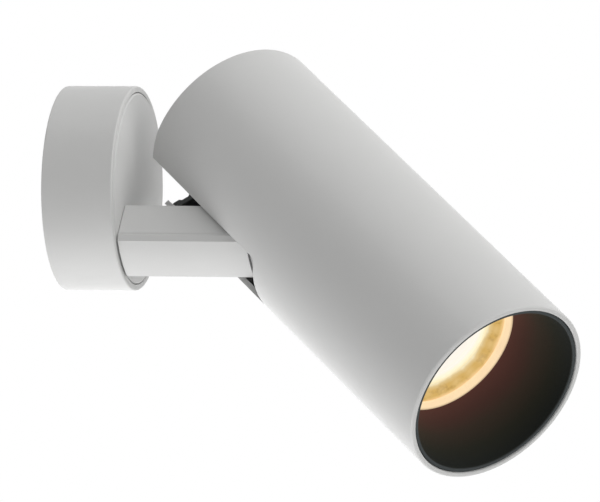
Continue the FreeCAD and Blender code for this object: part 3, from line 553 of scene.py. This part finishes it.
def black_cone():
    """Deep matt black, with the lens's warm light painted on as an emitted glow that dies away towards the mouth, and
    a painted highlight along the rim at the mouth.
    """
    finish = Finish("black_cone")
    place = finish.place(HEAD)
    z = finish.axes(place)[2]
    reach = (z - MOUTH_START * MM) / ((TUBE_LENGTH - MOUTH_START) * MM)
    cloud = finish.noise(place, 60.0, 2.0)
    grain = finish.noise(place, 1800.0, 2.0)
    # painted light: the lens's warm glow on the cone, emitted, fading towards the mouth
    glow = finish.ramp(
        reach + (cloud - 0.5) * 0.15,
        (0.0, (0.066, 0.02, 0.016)), (0.22, (0.04, 0.0135, 0.0105)), (0.42, (0.021, 0.0115, 0.0075)),
        (0.7, (0.006, 0.0048, 0.0022)), (0.92, (0.0, 0.0, 0.0)),
    )
    black = colours().black
    colour = finish.blend(cloud, shade(black, 0.8), shade(black, 1.3))
    # painted highlight: a lighter band along the cone's rolled edge at the mouth
    rim = clamped((reach - 0.955) * 40.0)
    return finish.surface(
        Base_Color=finish.blend(rim, colour, (0.06, 0.068, 0.07)), Roughness=0.6 + 0.12 * grain,
        Specular_IOR_Level=0.12, Emission_Color=glow, Emission_Strength=1.0,
        Normal=finish.bump(grain, 0.00003, 0.4),
    )


NODE_FINISHES = {
    powder_coat: ("base_housing", "swivel_disc", "arm_bar", "arm_cover", "head_tube"),
    black_plastic: ("rear_cap",),
    zinc_plate: ("mounting_plate", "earth_screw", "housing_grub_screws", "pan_stop_pin", "pan_nipple",
                 "pan_wave_washer", "pan_nut", "arm_screws", "tube_screws", "cap_screws", "bracket_screws",
                 "hinge_pin", "hinge_nut", "hinge_bracket", "arm_clamp_screw"),
    soft_rubber: ("cable_bush", "lead_boot", "hinge_lead"),
    moulded_nylon: ("terminal_block", "hinge_washers", "led_holder"),
    turned_brass: ("terminal_screws",),
    moulded_case: ("driver_case",),
    turned_aluminium: ("heat_sink", "led_board"),
    phosphor: ("led_chip",),
    golden_band: ("reflector",),
    lit_lens: ("lens",),
    trim_ring: ("lens_ring",),
    black_cone: ("baffle",),
}


# ------------------------------------------------------------------ modelling steps


def start():
    """Leaves edit mode and deselects everything."""
    if bpy.context.mode != "OBJECT":
        bpy.ops.object.mode_set(mode="OBJECT")
    bpy.ops.object.select_all(action="DESELECT")


def pick(piece):
    """Makes a piece the one that operators act on."""
    start()
    bpy.context.view_layer.objects.active = piece
    piece.select_set(True)


def rounded(corners, steps=5):
    """An outline with its corners rounded: each corner is (radius, height, rounding)."""
    points = []
    count = len(corners)
    for i, (r, z, rounding) in enumerate(corners):
        here = Vector((r, z))
        if not rounding:
            points.append(here)
            continue
        before = (Vector(corners[i - 1][:2]) - here).normalized()
        after = (Vector(corners[(i + 1) % count][:2]) - here).normalized()
        half = before.angle(after) / 2
        reach = rounding / math.tan(half)
        centre = here + (before + after).normalized() * (rounding / math.sin(half))
        first, last = here + before * reach - centre, here + after * reach - centre
        sweep = first.angle_signed(last)
        for k in range(steps + 1):
            points.append(centre + Matrix.Rotation(-sweep * k / steps, 2) @ first)
    return [tuple(p) for p in points]


def turned(name, outline, ring=True, segments=None):
    """A turned piece: a circle is extruded and scaled from one (radius, height) of the outline to the next.
    A ring closes on its first circle, and any other piece is closed by its end faces."""
    start()
    (radius, height), rest = outline[0], outline[1:]
    bpy.ops.mesh.primitive_circle_add(
        vertices=segments or sizes().segments, radius=radius * MM, location=(0, 0, height * MM))
    piece = bpy.context.object
    piece.name = piece.data.name = name
    bpy.ops.object.transform_apply(location=True, rotation=True, scale=True)
    bpy.ops.object.mode_set(mode="EDIT")
    bpy.ops.mesh.select_all(action="SELECT")
    for next_radius, next_height in [*rest, outline[0]] if ring else rest:
        bpy.ops.mesh.extrude_region_move(
            TRANSFORM_OT_translate={"value": (0, 0, (next_height - height) * MM)})
        factor = next_radius / radius
        bpy.ops.transform.resize(value=(factor, factor, 1), center_override=(0, 0, next_height * MM))
        radius, height = next_radius, next_height
    bpy.ops.mesh.select_all(action="SELECT")
    bpy.ops.mesh.remove_doubles(threshold=0.000002)
    if not ring:
        bpy.ops.mesh.fill_holes(sides=0)
    bpy.ops.mesh.select_all(action="SELECT")
    bpy.ops.mesh.normals_make_consistent(inside=False)
    bpy.ops.object.mode_set(mode="OBJECT")
    return piece


def block(name, low, high):
    """A box between two corners."""
    start()
    low, high = Vector(low) * MM, Vector(high) * MM
    bpy.ops.mesh.primitive_cube_add(size=1, location=(low + high) / 2)
    piece = bpy.context.object
    piece.name = piece.data.name = name
    piece.scale = high - low
    bpy.ops.object.transform_apply(location=True, rotation=True, scale=True)
    return piece


def rod(name, radius, first, last, segments=None):
    """A cylinder between two points."""
    start()
    first, last = Vector(first) * MM, Vector(last) * MM
    bpy.ops.mesh.primitive_cylinder_add(
        vertices=segments or sizes().segments, radius=radius * MM, depth=(last - first).length,
        location=(first + last) / 2, rotation=(last - first).to_track_quat("Z", "Y").to_euler())
    piece = bpy.context.object
    piece.name = piece.data.name = name
    bpy.ops.object.transform_apply(location=True, rotation=True, scale=True)
    return piece


def carve(piece, tool, operation="DIFFERENCE"):
    """Cuts, joins or trims a piece with a tool, which is used up."""
    pick(piece)
    bpy.ops.object.modifier_add(type="BOOLEAN")
    step = piece.modifiers[-1]
    step.object, step.operation, step.solver = tool, operation, "EXACT"
    bpy.ops.object.modifier_apply(modifier=step.name)
    bpy.data.objects.remove(tool)


def drill(shell, angles, height, inside):
    """Drills a screw hole at each angle in degrees through a round wall, outwards from a radius inside it."""
    level = Vector((0, 0, height))
    for angle in angles:
        way = Vector((math.cos(math.radians(angle)), math.sin(math.radians(angle)), 0))
        carve(shell, rod("hole", SCREW_HOLE, way * inside + level, way * DRILL_END + level, HOLE_SEGMENTS))


def soften(piece, width, segments=3, sharper=50):
    """Rounds the edges that are sharper than an angle in degrees."""
    pick(piece)
    bpy.ops.object.modifier_add(type="BEVEL")
    step = piece.modifiers[-1]
    step.width, step.segments, step.limit_method = width, segments, "ANGLE"
    step.angle_limit, step.use_clamp_overlap = math.radians(sharper), False
    step.miter_outer = "MITER_ARC"
    bpy.ops.object.modifier_apply(modifier=step.name)


def chamfer(piece, width, test):
    """Cuts a flat along the edges whose two ends pass a test on their place in millimetres."""
    pick(piece)
    bpy.ops.object.mode_set(mode="EDIT")
    bpy.ops.mesh.select_all(action="DESELECT")
    bpy.ops.object.mode_set(mode="OBJECT")
    points = piece.data.vertices
    for edge in piece.data.edges:
        edge.select = all(test(points[end].co / MM) for end in edge.vertices)
    bpy.ops.object.mode_set(mode="EDIT")
    bpy.ops.mesh.select_mode(type="EDGE")
    bpy.ops.mesh.bevel(offset=width, segments=1, affect="EDGES")
    bpy.ops.object.mode_set(mode="OBJECT")


def done(piece, matrix, body, slot, finish, *nodes):
    """Puts a piece in its place, smooths and paints it, and says what it rides on and stands for."""
    pick(piece)
    piece.matrix_world = matrix
    bpy.ops.object.transform_apply(location=True, rotation=True, scale=True)
    bpy.ops.object.shade_smooth_by_angle(angle=SMOOTH_ANGLE)
    bpy.ops.object.modifier_add(type="WEIGHTED_NORMAL")
    step = piece.modifiers[-1]
    step.keep_sharp, step.weight = True, FACE_WEIGHT
    bpy.ops.object.modifier_apply(modifier=step.name)
    piece.data.materials.clear()
    piece.data.materials.append(bpy.data.materials[finish])
    piece.select_set(False)
    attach(piece, body)
    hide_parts(*nodes)


# ------------------------------------------------------------------ operators


class SPOTLIGHT_OT_finishes(bpy.types.Operator):
    """Makes the finishes and puts them on the frame's own parts"""

    bl_idname = "spotlight.finishes"
    bl_label = "Finishes"

    def execute(self, context):
        for make, names in NODE_FINISHES.items():
            material = make()
            for name in names:
                slots = frame["nodes"][name].data.materials
                slots.clear()
                slots.append(material)
        return {"FINISHED"}


class SPOTLIGHT_OT_base_shell(bpy.types.Operator):
    """Turns the round base housing, with its inner flange and grub screw holes"""

    bl_idname = "spotlight.base_shell"
    bl_label = "Base shell"

    def execute(self, context):
        edge = sizes().base_edge / MM
        shell = turned("base_shell", rounded([
            (HOUSING_BORE, 0, 0.15), (BASE_RADIUS, 0, 0.4), (BASE_RADIUS, RIM_DEPTH, edge),
            (HOUSING_BORE, RIM_DEPTH, 0.15), (HOUSING_BORE, FLANGE_END, 0), (FLANGE_BORE, FLANGE_END, 0.15),
            (FLANGE_BORE, FLANGE_START, 0.15), (HOUSING_BORE, FLANGE_START, 0),
        ]))
        drill(shell, HOUSING_SCREW_ANGLES, HOUSING_SCREW_DEPTH, 26)
        soften(shell, 0.00012, 2, 60)
        done(shell, BASE, "base", "white_powder_coat", "powder_coat", "base_housing")
        return {"FINISHED"}


class SPOTLIGHT_OT_arm(bpy.types.Operator):
    """Models the arm with its eye for the hinge pin"""

    bl_idname = "spotlight.arm"
    bl_label = "Arm"

    def execute(self, context):
        arm = block("arm", (ARM_BACK, -ARM_HALF, BASE_DEPTH), (TUBE_RADIUS, ARM_HALF, ARM_END))
        trim = turned("trim", [
            (COVER_INSIDE, BASE_DEPTH - 1), (COVER_INSIDE, COVER_END), (KNUCKLE_OUTSIDE, COVER_END),
            (KNUCKLE_OUTSIDE, ARM_END + 1),
        ], ring=False)
        carve(arm, trim, "INTERSECT")
        carve(arm, rod("eye", EYE_RADIUS, (HINGE_X, -ARM_HALF, HINGE_DEPTH), (HINGE_X, ARM_HALF, HINGE_DEPTH)),
              "UNION")
        carve(arm, rod("hole", HINGE_BORE, (HINGE_X, -20, HINGE_DEPTH), (HINGE_X, 20, HINGE_DEPTH), 48))
        soften(arm, sizes().arm_edge)
        done(arm, BASE, "swivel_arm", "white_powder_coat", "powder_coat", "arm_bar")
        return {"FINISHED"}


class SPOTLIGHT_OT_arm_cover(bpy.types.Operator):
    """Models the arm's curved cover, with a flat along each long edge"""

    bl_idname = "spotlight.arm_cover"
    bl_label = "Arm cover"

    def execute(self, context):
        cover = block("cover", (20, -ARM_HALF, COVER_START), (35, ARM_HALF, COVER_END))
        sleeve = turned("sleeve", [
            (COVER_INSIDE, COVER_START - 1), (TUBE_RADIUS, COVER_START - 1), (TUBE_RADIUS, COVER_END + 1),
            (COVER_INSIDE, COVER_END + 1),
        ])
        carve(cover, sleeve, "INTERSECT")
        chamfer(cover, sizes().cover_chamfer, lambda at: (
            abs(abs(at.y) - ARM_HALF) < 0.05 and abs(math.hypot(at.x, at.y) - TUBE_RADIUS) < 0.1))
        soften(cover, 0.00012, 2, 40)
        done(cover, BASE, "swivel_arm", "white_powder_coat", "powder_coat", "arm_cover")
        return {"FINISHED"}


class SPOTLIGHT_OT_clamp_screw(bpy.types.Operator):
    """Turns the slotted screw on the arm's inner face"""

    bl_idname = "spotlight.clamp_screw"
    bl_label = "Clamp screw"

    def execute(self, context):
        screw = turned("clamp_screw", rounded([
            (2.1, 0, 0), (2.1, 2.5, 0.5), (0.05, 2.5, 0), (0.05, 0, 0),
        ]), segments=48)
        carve(screw, block("slot", (-3, -0.35, 1.5), (3, 0.35, 3)))
        soften(screw, 0.00008, 2, 60)
        level = Vector((ARM_BACK, 0, CLAMP_DEPTH)) * MM
        place = BASE @ Matrix.Translation(level) @ Matrix.Rotation(math.radians(-90), 4, "Y")
        done(screw, place, "swivel_arm", "zinc_plated_steel", "zinc_plate", "arm_clamp_screw")
        return {"FINISHED"}


class SPOTLIGHT_OT_lead_boot(bpy.types.Operator):
    """Turns the rubber boot with its ribs and joins its foot on the arm"""

    bl_idname = "spotlight.lead_boot"
    bl_label = "Lead boot"

    def execute(self, context):
        ribs = sizes().boot_ribs
        pitch = (BOOT_END - BOOT_START - 1.0) / ribs
        outline = [(1.0, BOOT_START, 0), (2.4, BOOT_START, 0.5)]
        for rib in range(ribs):
            bottom = BOOT_START + 0.6 + rib * pitch
            outline += [(2.3, bottom, 0), (2.6, bottom + pitch * 0.25, 0.1), (2.6, bottom + pitch * 0.55, 0.1),
                        (2.3, bottom + pitch * 0.8, 0)]
        outline += [(1.85, BOOT_END, 0.3), (1.0, BOOT_END, 0)]
        boot = turned("lead_boot_ribbed", rounded(outline, 3), segments=48)
        pick(boot)
        boot.location = (LEAD_X * MM, 0, 0)
        bpy.ops.object.transform_apply(location=True)
        carve(boot, block("foot", (LEAD_X, -2.2, BOOT_START + 0.6), (ARM_BACK, 2.2, BOOT_START + 5.2)), "UNION")
        done(boot, BASE, "swivel_arm", "black_rubber", "soft_rubber", "lead_boot")
        return {"FINISHED"}


class SPOTLIGHT_OT_head_shell(bpy.types.Operator):
    """Turns the head's tube and cuts its slot, its swing relief and its screw holes"""

    bl_idname = "spotlight.head_shell"
    bl_label = "Head shell"

    def execute(self, context):
        edge = sizes().tube_edge / MM
        rings = 18
        levels = [TUBE_LENGTH * k / rings for k in range(1, rings)]
        shell = turned("head_shell", rounded([
            (TUBE_BORE, 0, 0.2), (TUBE_RADIUS, 0, edge), *((TUBE_RADIUS, level, 0) for level in levels),
            (TUBE_RADIUS, TUBE_LENGTH, edge), (TUBE_BORE, TUBE_LENGTH, 0.3),
            *((TUBE_BORE, level, 0) for level in reversed(levels)),
        ]))
        # no bevel follows: it would run out past the wall where the relief meets the rounded end
        relief = block("relief", (HINGE_X, -60, -3), (PAST_TUBE, 60, 17))
        carve(relief, rod("swing", SWING_RADIUS, (HINGE_X, -70, HINGE_STATION), (HINGE_X, 70, HINGE_STATION), 240))
        carve(shell, relief)
        carve(shell, block("slot", (SLOT_FLOOR, -SLOT_HALF, -5), (PAST_TUBE, SLOT_HALF, SLOT_END)))
        drill(shell, TUBE_SCREW_ANGLES, TUBE_SCREW_STATION, 25)
        done(shell, HEAD, "head", "white_powder_coat", "powder_coat", "head_tube")
        return {"FINISHED"}


class SPOTLIGHT_OT_rear_cap(bpy.types.Operator):
    """Turns the black rear cap with its raised ring, notched for the arm"""

    bl_idname = "spotlight.rear_cap"
    bl_label = "Rear cap"

    def execute(self, context):
        cap = turned("rear_cap_plate", rounded([
            (FITTED, CAP_INSIDE, 0.2), (0.2, CAP_INSIDE, 0), (0.2, CAP_DEPTH + 0.1, 0), (22.0, CAP_DEPTH + 0.1, 0.2),
            (22.6, CAP_DEPTH + 0.7, 0.2), (24.6, CAP_DEPTH + 0.7, 0.2), (25.2, CAP_DEPTH, 0.2),
            (FITTED, CAP_DEPTH, 0.4),
        ], 3))
        carve(cap, block("notch", (SLOT_FLOOR, -SLOT_HALF, -2), (PAST_TUBE, SLOT_HALF, 8)))
        for x, y in CAP_SCREW_PLACES:
            carve(cap, rod("hole", CAP_SCREW_BORE, (x, y, -2), (x, y, 8), HOLE_SEGMENTS))
        soften(cap, 0.00018, 2, 60)
        done(cap, HEAD, "head", "black_plastic", "black_plastic", "rear_cap")
        return {"FINISHED"}


class SPOTLIGHT_OT_cone(bpy.types.Operator):
    """Turns the black cone against glare, with a rolled edge at the mouth"""

    bl_idname = "spotlight.cone"
    bl_label = "Black cone"

    def execute(self, context):
        cone = turned("black_cone", rounded([
            (21.8, MOUTH_START, 0.2), (22.7, MOUTH_START, 0.1), (FITTED, CONE_END - 2, 0),
            (FITTED, CONE_END, 0.25), (26.35, CONE_END, 0.25), (26.15, CONE_END - 1.5, 1.0),
        ]))
        done(cone, HEAD, "head", "black_paint", "black_cone", "baffle")
        return {"FINISHED"}


class SPOTLIGHT_OT_golden_band(bpy.types.Operator):
    """Turns the reflector and presses its ribs"""

    bl_idname = "spotlight.golden_band"
    bl_label = "Golden band"

    def execute(self, context):
        ribs = sizes().reflector_ribs
        rings = 7
        inner = [(REFLECTOR_MOUTH + (WAIST_RADIUS - REFLECTOR_MOUTH) * k / rings,
                  RING_START + (WAIST_STATION - RING_START) * k / rings) for k in range(rings + 1)]
        wall = REFLECTOR_WALL
        band = turned("golden_reflector", [
            (COLLAR_RADIUS, COLLAR_START), (COLLAR_RADIUS + wall, COLLAR_START), (WAIST_RADIUS + wall, LENS_SEAT),
            (REFLECTOR_MOUTH + wall, RING_START - 0.6), (REFLECTOR_MOUTH + wall, RING_START), *inner,
            (WAIST_RADIUS, LENS_SEAT), (WAIST_RADIUS - 0.8, LENS_SEAT),
        ], segments=ribs * 4)
        pick(band)
        bpy.ops.object.mode_set(mode="EDIT")
        bpy.ops.mesh.select_all(action="DESELECT")
        bpy.ops.object.mode_set(mode="OBJECT")
        pressed = inner[1:-1]
        for vertex in band.data.vertices:
            radius = math.hypot(vertex.co.x, vertex.co.y) / MM
            part = math.degrees(math.atan2(vertex.co.y, vertex.co.x)) * ribs / 360 % 1
            on_ring = any(abs(radius - r) < 0.01 and abs(vertex.co.z / MM - z) < 0.01 for r, z in pressed)
            vertex.select = on_ring and min(part, 1 - part) < 0.1
        bpy.ops.object.mode_set(mode="EDIT")
        bpy.ops.transform.resize(value=(0.972, 0.972, 1), center_override=(0, 0, 0.1))
        bpy.ops.object.mode_set(mode="OBJECT")
        done(band, HEAD, "head", "warm_reflector", "golden_band", "reflector")
        return {"FINISHED"}


class SPOTLIGHT_OT_lens(bpy.types.Operator):
    """Turns the crowned lens with its stepped rings"""

    bl_idname = "spotlight.lens"
    bl_label = "Lens"

    def execute(self, context):
        edge = WAIST_RADIUS - 0.05
        outline = [(edge, LENS_SEAT), (edge, WAIST_STATION)]
        steps = 6
        for k in range(steps):
            radius = edge * (0.96 - k * 0.15)
            crown = WAIST_STATION + (LENS_CROWN - 0.1) * (1 - (radius / edge) ** 2)
            outline += [(radius, crown), (radius - 0.3, crown - 0.15)]
        outline += [(0.8, WAIST_STATION + LENS_CROWN - 0.1)]
        lens = turned("lens_dome", outline, ring=False)
        done(lens, HEAD, "head", "clear_lens", "lit_lens", "lens")
        return {"FINISHED"}


class SPOTLIGHT_OT_trim_ring(bpy.types.Operator):
    """Turns the pale ring between the golden band and the black cone"""

    bl_idname = "spotlight.trim_ring"
    bl_label = "Trim ring"

    def execute(self, context):
        ring = turned("lens_trim", rounded([
            (20.4, RING_START, 0.1), (FITTED, RING_START, 0), (FITTED, MOUTH_START, 0), (21.5, MOUTH_START, 0.2),
            (20.4, RING_START + 0.8, 0.3),
        ], 4))
        done(ring, HEAD, "head", "pale_ring", "trim_ring", "lens_ring")
        return {"FINISHED"}


# the stage, in metres
FLOOR_SIZE = 60
FLOOR_LEVEL = -2.4
SENSOR_WIDTH_MM = 36.0
CAMERA_PLACE = (1.2826, 1.3632, -0.5106)
CAMERA_AXES = ((-0.1617, -0.1624, -0.9734), (-0.7334, 0.6797, 0.0084), (0.6602, 0.7153, -0.2290))
LAMP_WAYS = {
    "arm_side": (0.685, -0.617, 0.388),
    "near_side": (-0.449, 0.534, -0.719),
    "rear_side": (-0.450, -0.841, 0.301),
}


class SPOTLIGHT_OT_stage(bpy.types.Operator):
    """Sets the floor, the soft lamps, the world and the camera"""

    bl_idname = "spotlight.stage"
    bl_label = "Stage"

    def execute(self, context):
        stage = context.scene.spotlight_stage
        self.make_floor()
        for name, way in LAMP_WAYS.items():
            lamp = bpy.data.lights.new(name + "_lamp", "SUN")
            lamp.energy, lamp.angle = getattr(stage, name), stage.lamp_spread
            holder = bpy.data.objects.new(name + "_lamp", lamp)
            holder.rotation_euler = Vector(way).to_track_quat("Z", "Y").to_euler()
            holder.location = Vector(way) * 2
            context.scene.collection.objects.link(holder)
        self.make_world(stage.daylight)
        lens = bpy.data.cameras.new("camera")
        lens.lens, lens.sensor_width = stage.focal_length, SENSOR_WIDTH_MM
        lens.clip_end = 100
        camera = bpy.data.objects.new("camera", lens)
        turn = Matrix([[axis[row] for axis in CAMERA_AXES] for row in range(3)]).to_4x4()
        camera.matrix_world = Matrix.Translation(CAMERA_PLACE) @ turn
        context.scene.collection.objects.link(camera)
        context.scene.camera = camera
        context.scene.view_settings.view_transform = "Standard"
        return {"FINISHED"}

    def make_floor(self):
        """A wide pale floor, white to the camera, far below the lamp."""
        start()
        bpy.ops.mesh.primitive_plane_add(size=FLOOR_SIZE, location=(0, 0, FLOOR_LEVEL))
        floor = bpy.context.object
        floor.name = "floor"
        finish = Finish("pale_floor")
        path = finish.node("LightPath")
        outputs = path.socket.node.outputs
        seen = Value(finish, outputs["Is Camera Ray"]) + Value(finish, outputs["Is Glossy Ray"])
        seen = (seen + Value(finish, outputs["Is Transmission Ray"])).maths("MINIMUM", 1.0)
        paint = finish.node("BsdfDiffuse", {}, {"Color": (0.8, 0.8, 0.79, 1)})
        glow = finish.node("Emission", {}, {"Color": (1, 1, 1, 1), "Strength": 0.6})
        white = finish.node("AddShader", {}, {0: paint, 1: glow})
        both = finish.node("MixShader", {}, {0: seen, 1: paint, 2: white})
        out = finish.tree.nodes.new("ShaderNodeOutputMaterial")
        finish.tree.links.new(both.socket, out.inputs["Surface"])
        floor.data.materials.append(finish.material)
        floor.visible_shadow = False

    def make_world(self, level):
        """Even light all round, which the camera and glossy surfaces see as white."""
        world = bpy.data.worlds.new("studio")
        bpy.context.scene.world = world
        world.use_nodes = True
        nodes, links = world.node_tree.nodes, world.node_tree.links
        nodes.clear()
        path = nodes.new("ShaderNodeLightPath")
        seen = nodes.new("ShaderNodeMath")
        seen.operation = "MAXIMUM"
        links.new(path.outputs["Is Camera Ray"], seen.inputs[0])
        links.new(path.outputs["Is Transmission Ray"], seen.inputs[1])
        white, even = nodes.new("ShaderNodeBackground"), nodes.new("ShaderNodeBackground")
        white.inputs["Color"].default_value = (1, 1, 1, 1)
        even.inputs["Color"].default_value = (1, 1, 1, 1)
        even.inputs["Strength"].default_value = level
        shiny = nodes.new("ShaderNodeMath")
        shiny.operation = "MAXIMUM"
        links.new(seen.outputs[0], shiny.inputs[0])
        links.new(path.outputs["Is Glossy Ray"], shiny.inputs[1])
        both, out = nodes.new("ShaderNodeMixShader"), nodes.new("ShaderNodeOutputWorld")
        links.new(shiny.outputs[0], both.inputs[0])
        links.new(even.outputs[0], both.inputs[1])
        links.new(white.outputs[0], both.inputs[2])
        links.new(both.outputs[0], out.inputs["Surface"])


STEPS = (
    SPOTLIGHT_OT_stage, SPOTLIGHT_OT_finishes, SPOTLIGHT_OT_base_shell, SPOTLIGHT_OT_arm, SPOTLIGHT_OT_arm_cover,
    SPOTLIGHT_OT_clamp_screw, SPOTLIGHT_OT_lead_boot, SPOTLIGHT_OT_head_shell, SPOTLIGHT_OT_rear_cap,
    SPOTLIGHT_OT_cone, SPOTLIGHT_OT_golden_band, SPOTLIGHT_OT_lens, SPOTLIGHT_OT_trim_ring,
)


class SPOTLIGHT_PT_panel(bpy.types.Panel):
    """Lists the steps and their sizes"""

    bl_label = "Ceiling spotlight"
    bl_idname = "SPOTLIGHT_PT_panel"
    bl_space_type = "VIEW_3D"
    bl_region_type = "UI"
    bl_category = "Spotlight"

    def draw(self, context):
        for settings in (context.scene.spotlight_sizes, context.scene.spotlight_colours,
                         context.scene.spotlight_stage):
            box = self.layout.box()
            for name in settings.__annotations__:
                box.prop(settings, name)
        for step in STEPS:
            self.layout.operator(step.bl_idname)


CLASSES = (SpotlightSizes, SpotlightColours, SpotlightStage, *STEPS, SPOTLIGHT_PT_panel)


def register():
    for item in CLASSES:
        bpy.utils.register_class(item)
    bpy.types.Scene.spotlight_sizes = bpy.props.PointerProperty(type=SpotlightSizes)
    bpy.types.Scene.spotlight_colours = bpy.props.PointerProperty(type=SpotlightColours)
    bpy.types.Scene.spotlight_stage = bpy.props.PointerProperty(type=SpotlightStage)


def unregister():
    del bpy.types.Scene.spotlight_sizes
    del bpy.types.Scene.spotlight_colours
    del bpy.types.Scene.spotlight_stage
    for item in reversed(CLASSES):
        bpy.utils.unregister_class(item)


def main():
    """Runs every step in order."""
    register()
    for step in STEPS:
        group, name = step.bl_idname.split(".")
        getattr(getattr(bpy.ops, group), name)()


if __name__ == "__main__":
    main()
